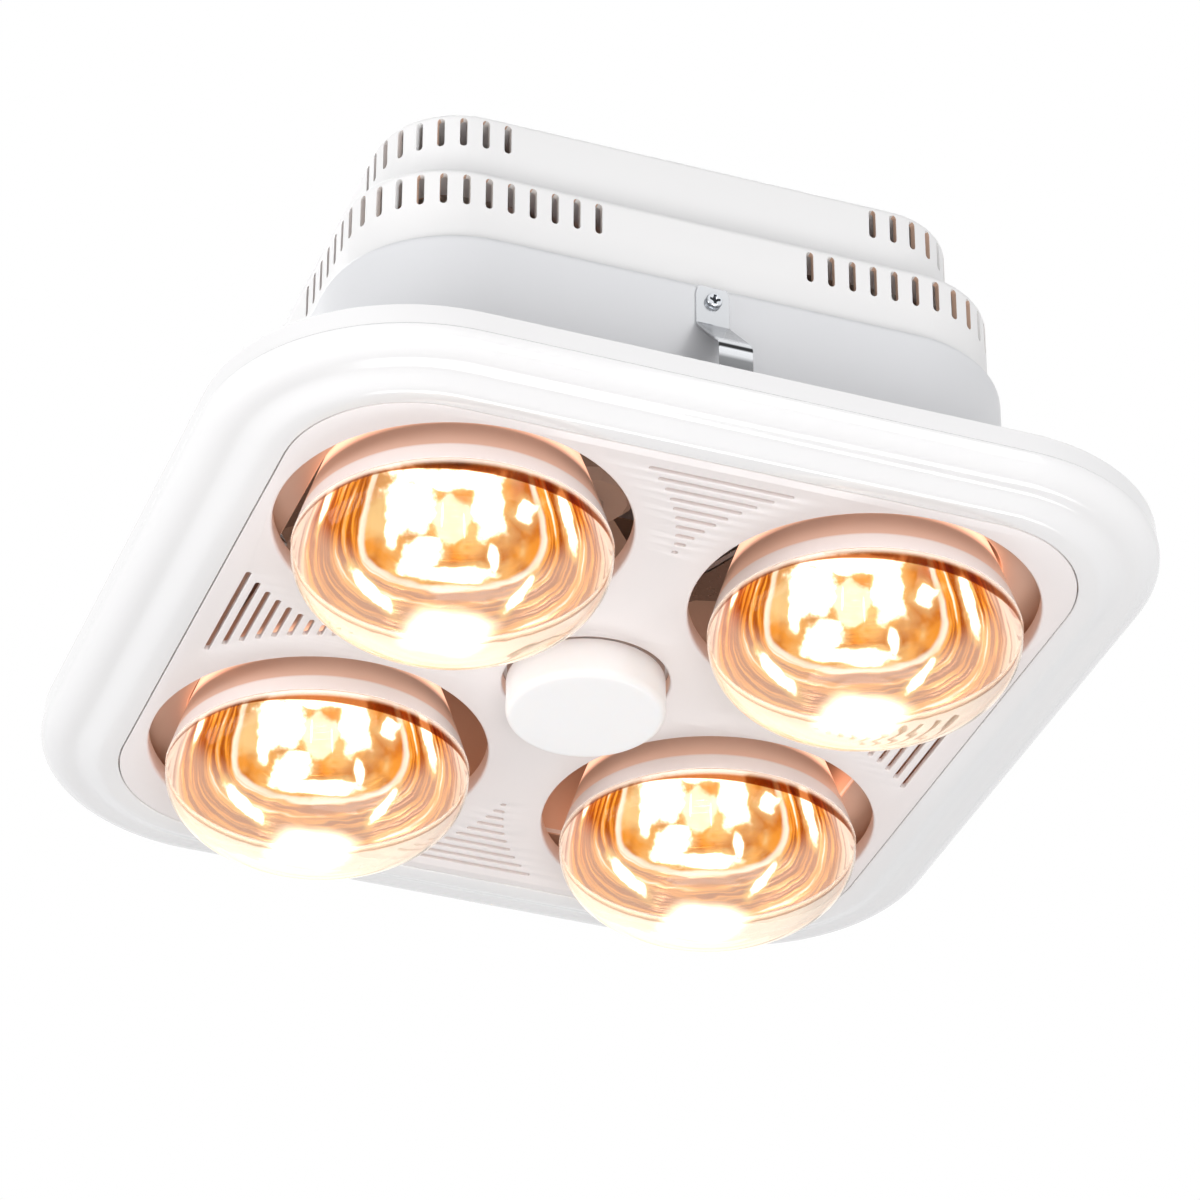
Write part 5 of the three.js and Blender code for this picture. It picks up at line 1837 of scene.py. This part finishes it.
@dataclass
class SpringClip:
    """A sheet steel clip in one strip: plate on the wall, slanted arm, curled foot.

    Attributes:
        wall: Distance of the housing's wall from the centre.
        seat: Gap between wall and strip.
        width: Width of the strip.
        sheet: Its thickness.
        top: Height of its upper end.
        bend: Height of the bend.
        reach: How far the arm stands from the wall.
        slant_end: Height where the slanted part ends.
        knee: Radius of the knee below the slant.
        foot: Underside of the foot.
        foot_radius: Radius of the curled foot.
        blunt: Share of the width at the strip's ends.
        screw: Height of the screw.
        head: Radius and height of the screw's head.
        recess: Half length and half width of the crossed recess.
        rim: Radii where the painted shade on the head's rim starts and is full, and how dark.
        painted_light_bands: Share of the height and share of the zinc's brightness, from below,
            painted as highlights and shade.
    """

    wall: float = 143.0
    seat: float = 0.3
    width: float = 14.0
    sheet: float = 1.0
    top: float = 76.0
    bend: float = 58.0
    reach: float = 24.5
    slant_end: float = 36.0
    knee: float = 6.0
    foot: float = 12.0
    foot_radius: float = 4.0
    blunt: float = 0.86
    screw: float = 68.7
    head: Spot = (3.6, 2.2)
    recess: Spot = (2.2, 0.6)
    rim: Triple = (2.7, 3.4, 0.8)
    painted_light_bands: tuple[Spot, ...] = (
        (0.16, 0.50), (0.28, 0.26), (0.325, 0.30), (0.35, 0.9), (0.385, 1.0), (0.393, 0.03),
        (0.412, 0.03), (0.42, 0.82), (0.47, 0.88), (0.495, 0.40), (0.74, 0.46), (0.765, 0.76),
        (1.0, 0.82),
    )

    def steel(self) -> bpy.types.Material:
        """Builds the strip's zinc with painted highlights and shade in bands: bright plate, darker
        slant, a dark line and a bright highlight on the roll.

        Returns:
            The strip's material.
        """
        material = ZINC.material("zinc_strip")
        tree = NodeTree(material)
        # Painted light and shade: the zinc's brightness changes in bands up the strip.
        painted_light_bands = tree.ramp(tree.place().height / self.top, self.painted_light_bands)
        tree.surface({"Base Color": tree.mix(painted_light_bands, BLACK, ZINC.colour)})
        return material

    def screw_steel(self) -> bpy.types.Material:
        """Builds the screw's zinc with painted shade in its crossed recess and round its rim.

        Returns:
            The screw's material.
        """
        material = ZINC.material("zinc_screw")
        tree = NodeTree(material)
        place = tree.place()
        across, along = abs(place.across), abs(place.along)
        length, width = self.recess
        crossed = (across.smaller(along) < width) * (across.larger(along) < length)
        start, end, depth = self.rim
        # Painted shade: near-black in the recess and towards the head's rim.
        dark = crossed.larger(place.radius.fade(start, end, 0.0, depth))
        tree.surface({"Base Color": tree.mix(dark, ZINC.second, (0.03, 0.034, 0.04))})
        return material

    def path(self) -> Profile:
        """Draws the strip's middle line.

        Returns:
            Points of distance from the wall and height.
        """
        middle = self.seat + self.sheet / 2
        knee, foot = self.knee, self.foot_radius
        line = [(middle, self.top), (middle, self.top - 4), (middle, self.screw),
                (middle, self.bend + 3), (middle, self.bend), (middle + 0.1, self.bend - 0.5),
                (middle + 0.9, self.bend - 1.7)]
        low = self.foot + self.sheet / 2 + foot
        line += arc((self.reach - knee, self.slant_end - knee), (knee, knee), 50, 0, 10)
        return line + arc((self.reach - foot, low), (foot, foot), 0, -170, 14)

    def strip(self, side: Side) -> Skin:
        """Sweeps the strip along its middle line.

        Args:
            side: The wall.

        Returns:
            Points and faces.
        """
        line = self.path()
        rings = []
        for i, (out, height) in enumerate(line):
            before, after = line[max(i - 1, 0)], line[min(i + 1, len(line) - 1)]
            run = Vector((after[0] - before[0], after[1] - before[1])).normalized()
            lean = (-run.y * self.sheet / 2, run.x * self.sheet / 2)
            half = self.width / 2 * (1.0 if 0 < i < len(line) - 1 else self.blunt)
            rings.append([
                (across * side.value, (self.wall + out + lean[0] * face) * side.value,
                 height + lean[1] * face)
                for across, face in ((-half, 1), (half, 1), (half, -1), (-half, -1))
            ])
        return loft(rings)

    def build(self, side: Side, steel: bpy.types.Material, head: bpy.types.Material) -> None:
        """Builds the strip and its screw on one wall.

        Args:
            side: The wall.
            steel: Material of the strip.
            head: Material of the screw.
        """
        label = side.name.lower()
        strip = make_piece(f"clip_strip_{label}", self.strip(side), steel, 50.0)
        round_edges(strip, 0.25, angle=30.0, even=False)
        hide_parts(f"clip_plate_{label}", f"clip_arm_{label}")
        (self.bend + 2) * MM
        (self.bend - 4) * MM
        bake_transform(strip)
        screw = pan_head(f"clip_head_{label}", *self.head, head)
        face = side.value * (self.wall + 2 * self.seat + self.sheet) * MM
        turn = Matrix.Rotation(math.radians(90 * side.value), 4, "X")
        screw.matrix_world = Matrix.Translation((0.0, face, self.screw * MM)) @ turn
        bpy.context.view_layer.update()
        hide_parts(f"clip_screw_{label}")
        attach(screw, UNIT)


# ------------------------------------------------------------------ carried nodes


@dataclass
class Inside:
    """Dresses the CAD nodes that are carried over as they are.

    Attributes:
        finishes: Finish of each slot.
    """

    finishes: dict[str, Finish] = field(default_factory=lambda: {
        "sheet_steel": GALVANISED, "motor_steel": GALVANISED, "bright_steel": STEEL,
        "winding_copper": COPPER, "fan_plastic": FAN_PLASTIC, "zinc": ZINC,
        "sink_aluminium": SINK_METAL, "board_white": BOARD_WHITE, "dark_plastic": DARK_PLASTIC,
        "grey_plastic": GREY_PLASTIC, "opal_case": CASE_WHITE, "porcelain": PORCELAIN,
        "cap_brass": BRASS,
    })

    def dress(self) -> None:
        """Gives every shown CAD node the material of its slot."""
        slots = {row["node"]: row["material_slot"] for row in frame["record"]["subparts"]}
        made: dict[str, bpy.types.Material] = {}
        for name, node in frame["nodes"].items():
            slot = slots[name]
            if node.hide_render or slot not in self.finishes:
                continue
            if slot not in made:
                made[slot] = self.finishes[slot].material(slot)
            node.data.materials.clear()
            node.data.materials.append(made[slot])
            LOG.info("dressed %s in %s", name, slot)


# ------------------------------------------------------------------ studio


def towards(azimuth: float, elevation: float) -> Vector:
    """Gives the direction from the object to a lamp or camera.

    Args:
        azimuth: Degrees from the near side towards +X.
        elevation: Degrees above the ceiling plane.

    Returns:
        The direction, of length 1.
    """
    turn, rise = math.radians(azimuth), math.radians(elevation)
    return Vector((
        math.sin(turn) * math.cos(rise), -math.cos(turn) * math.cos(rise), math.sin(rise),
    ))


@dataclass(frozen=True)
class Softbox:
    """A soft lamp, aimed at the object.

    Attributes:
        name: Name of the lamp.
        azimuth: Degrees from the near side towards +X.
        elevation: Degrees above the ceiling plane.
        distance: Metres from the object.
        size: Width and height, in metres.
        power: Watts.
        tint: Colour of the light.
    """

    name: str
    azimuth: float
    elevation: float
    distance: float
    size: Spot
    power: float
    tint: Colour = WHITE

    def build(self) -> None:
        """Places the lamp."""
        data = bpy.data.lights.new(self.name, "AREA")
        data.shape = "RECTANGLE"
        data.size, data.size_y = self.size
        data.energy = self.power
        data.color = self.tint
        holder = bpy.data.objects.new(self.name, data)
        away = towards(self.azimuth, self.elevation)
        holder.location = away * self.distance
        holder.rotation_euler = away.to_track_quat("Z", "Y").to_euler()
        bpy.context.scene.collection.objects.link(holder)


@dataclass
class Studio:
    """Camera, lamps, floor and background.

    Attributes:
        azimuth: Camera's turn about Z.
        elevation: Camera's height angle.
        roll: Camera's roll.
        distance: Camera to target, in metres.
        target: Point on the view's axis, in metres.
        lens: Focal length for the sensor, in millimetres.
        sensor: Width of the sensor, in millimetres.
        sight: How far the camera sees, in metres.
        floor: Height of the floor.
        floor_side: Half the floor's width.
        floor_lift: Brightness that the floor shows on top of the light it gets.
        felt: Colour and strength of the light that the background sheds.
        boxes: The soft lamps.
    """

    azimuth: float = -20.12
    elevation: float = -33.64
    roll: float = 0.17
    distance: float = 2.0503
    target: Point = (-0.0157, -0.0593, -0.022)
    lens: float = 156.01
    sensor: float = 36.0
    sight: float = 50.0
    floor: float = -2400.0
    floor_side: float = 25000.0
    floor_lift: float = 0.5
    felt: tuple[Colour, float] = ((0.97, 0.98, 1.0), 0.49)
    boxes: tuple[Softbox, ...] = (
        Softbox("below_front", -8.0, -41.0, 1.5, (0.9, 0.5), 9.8, (1.0, 0.99, 0.985)),
        Softbox("below_far", 150.0, -53.0, 1.5, (0.7, 0.3), 3.5),
        Softbox("front_right", 20.0, -6.0, 1.8, (0.3, 1.2), 7.2),
        Softbox("left", -86.0, -7.0, 1.6, (1.2, 0.6), 14.0),
        Softbox("behind_top", 170.0, 55.0, 2.0, (1.2, 1.2), 14.0),
    )

    def camera(self) -> None:
        """Sets the camera at the photograph's viewing angle."""
        data = bpy.data.cameras.new("camera")
        data.lens, data.sensor_width, data.clip_end = self.lens, self.sensor, self.sight
        back = towards(self.azimuth, self.elevation)
        right = (-back).cross(Vector((0, 0, 1))).normalized()
        over = right.cross(-back)
        roll = math.radians(self.roll)
        level = right * math.cos(roll) + over * math.sin(roll)
        upright = over * math.cos(roll) - right * math.sin(roll)
        turn = Matrix((level, upright, back)).transposed().to_4x4()
        holder = bpy.data.objects.new("camera", data)
        holder.matrix_world = Matrix.Translation(Vector(self.target) + back * self.distance) @ turn
        bpy.context.scene.collection.objects.link(holder)
        bpy.context.scene.camera = holder

    def background(self) -> None:
        """Makes the view white and the light round the object a soft grey."""
        world = bpy.data.worlds.new("studio")
        bpy.context.scene.world = world
        tree = NodeTree(world)
        mix = tree.add("ShaderNodeMixShader")
        tree.feed(mix.inputs["Fac"], tree.looked_at())
        sides = ((tree.add("ShaderNodeBackground"), *self.felt),
                 (tree.nodes["Background"], WHITE, 1.0))
        for i, (side, colour, strength) in enumerate(sides, 1):
            tree.feed(side.inputs["Color"], colour)
            tree.feed(side.inputs["Strength"], strength)
            tree.links.new(side.outputs["Background"], mix.inputs[i])
        tree.links.new(mix.outputs["Shader"], tree.nodes["World Output"].inputs["Surface"])

    def ground(self) -> None:
        """Lays the pale floor far below the object."""
        side, height = self.floor_side, self.floor
        corners = [(-side, -side, height), (side, -side, height), (side, side, height),
                   (-side, side, height)]
        paint = FLOOR_PAINT.material("floor")
        tree = NodeTree(paint)
        lift = tree.looked_at() * self.floor_lift
        tree.surface({"Emission Color": WHITE, "Emission Strength": lift})
        floor = make_piece("floor", (corners, [(0, 1, 2, 3)]), paint)

    def build(self) -> None:
        """Sets up the whole studio."""
        bpy.context.scene.view_settings.view_transform = "Standard"
        self.camera()
        for box in self.boxes:
            box.build()
        self.background()
        self.ground()


def main() -> None:
    """Builds everything in order and logs each piece."""
    logging.basicConfig(level=logging.INFO, format="%(name)s: %(message)s")
    Studio().build()
    LOG.info("studio ready")
    Fascia().build()
    LOG.info("fascia border built")
    panel = Panel()
    panel.build()
    LOG.info("panel and collars built")
    Housing().build()
    LOG.info("housing built")
    lamp = HeatLamp()
    looks = lamp.looks()
    for number, place in enumerate(panel.lamps(), 1):
        lamp.build(number, place, looks)
        LOG.info("heat lamp %d built", number)
    CentreLight().build()
    LOG.info("centre light built")
    clip = SpringClip()
    steel, head = clip.steel(), clip.screw_steel()
    for side in Side:
        clip.build(side, steel, head)
        LOG.info("spring clip built on the %s wall", side.name.lower())
    Inside().dress()


if __name__ == "__main__":
    main()
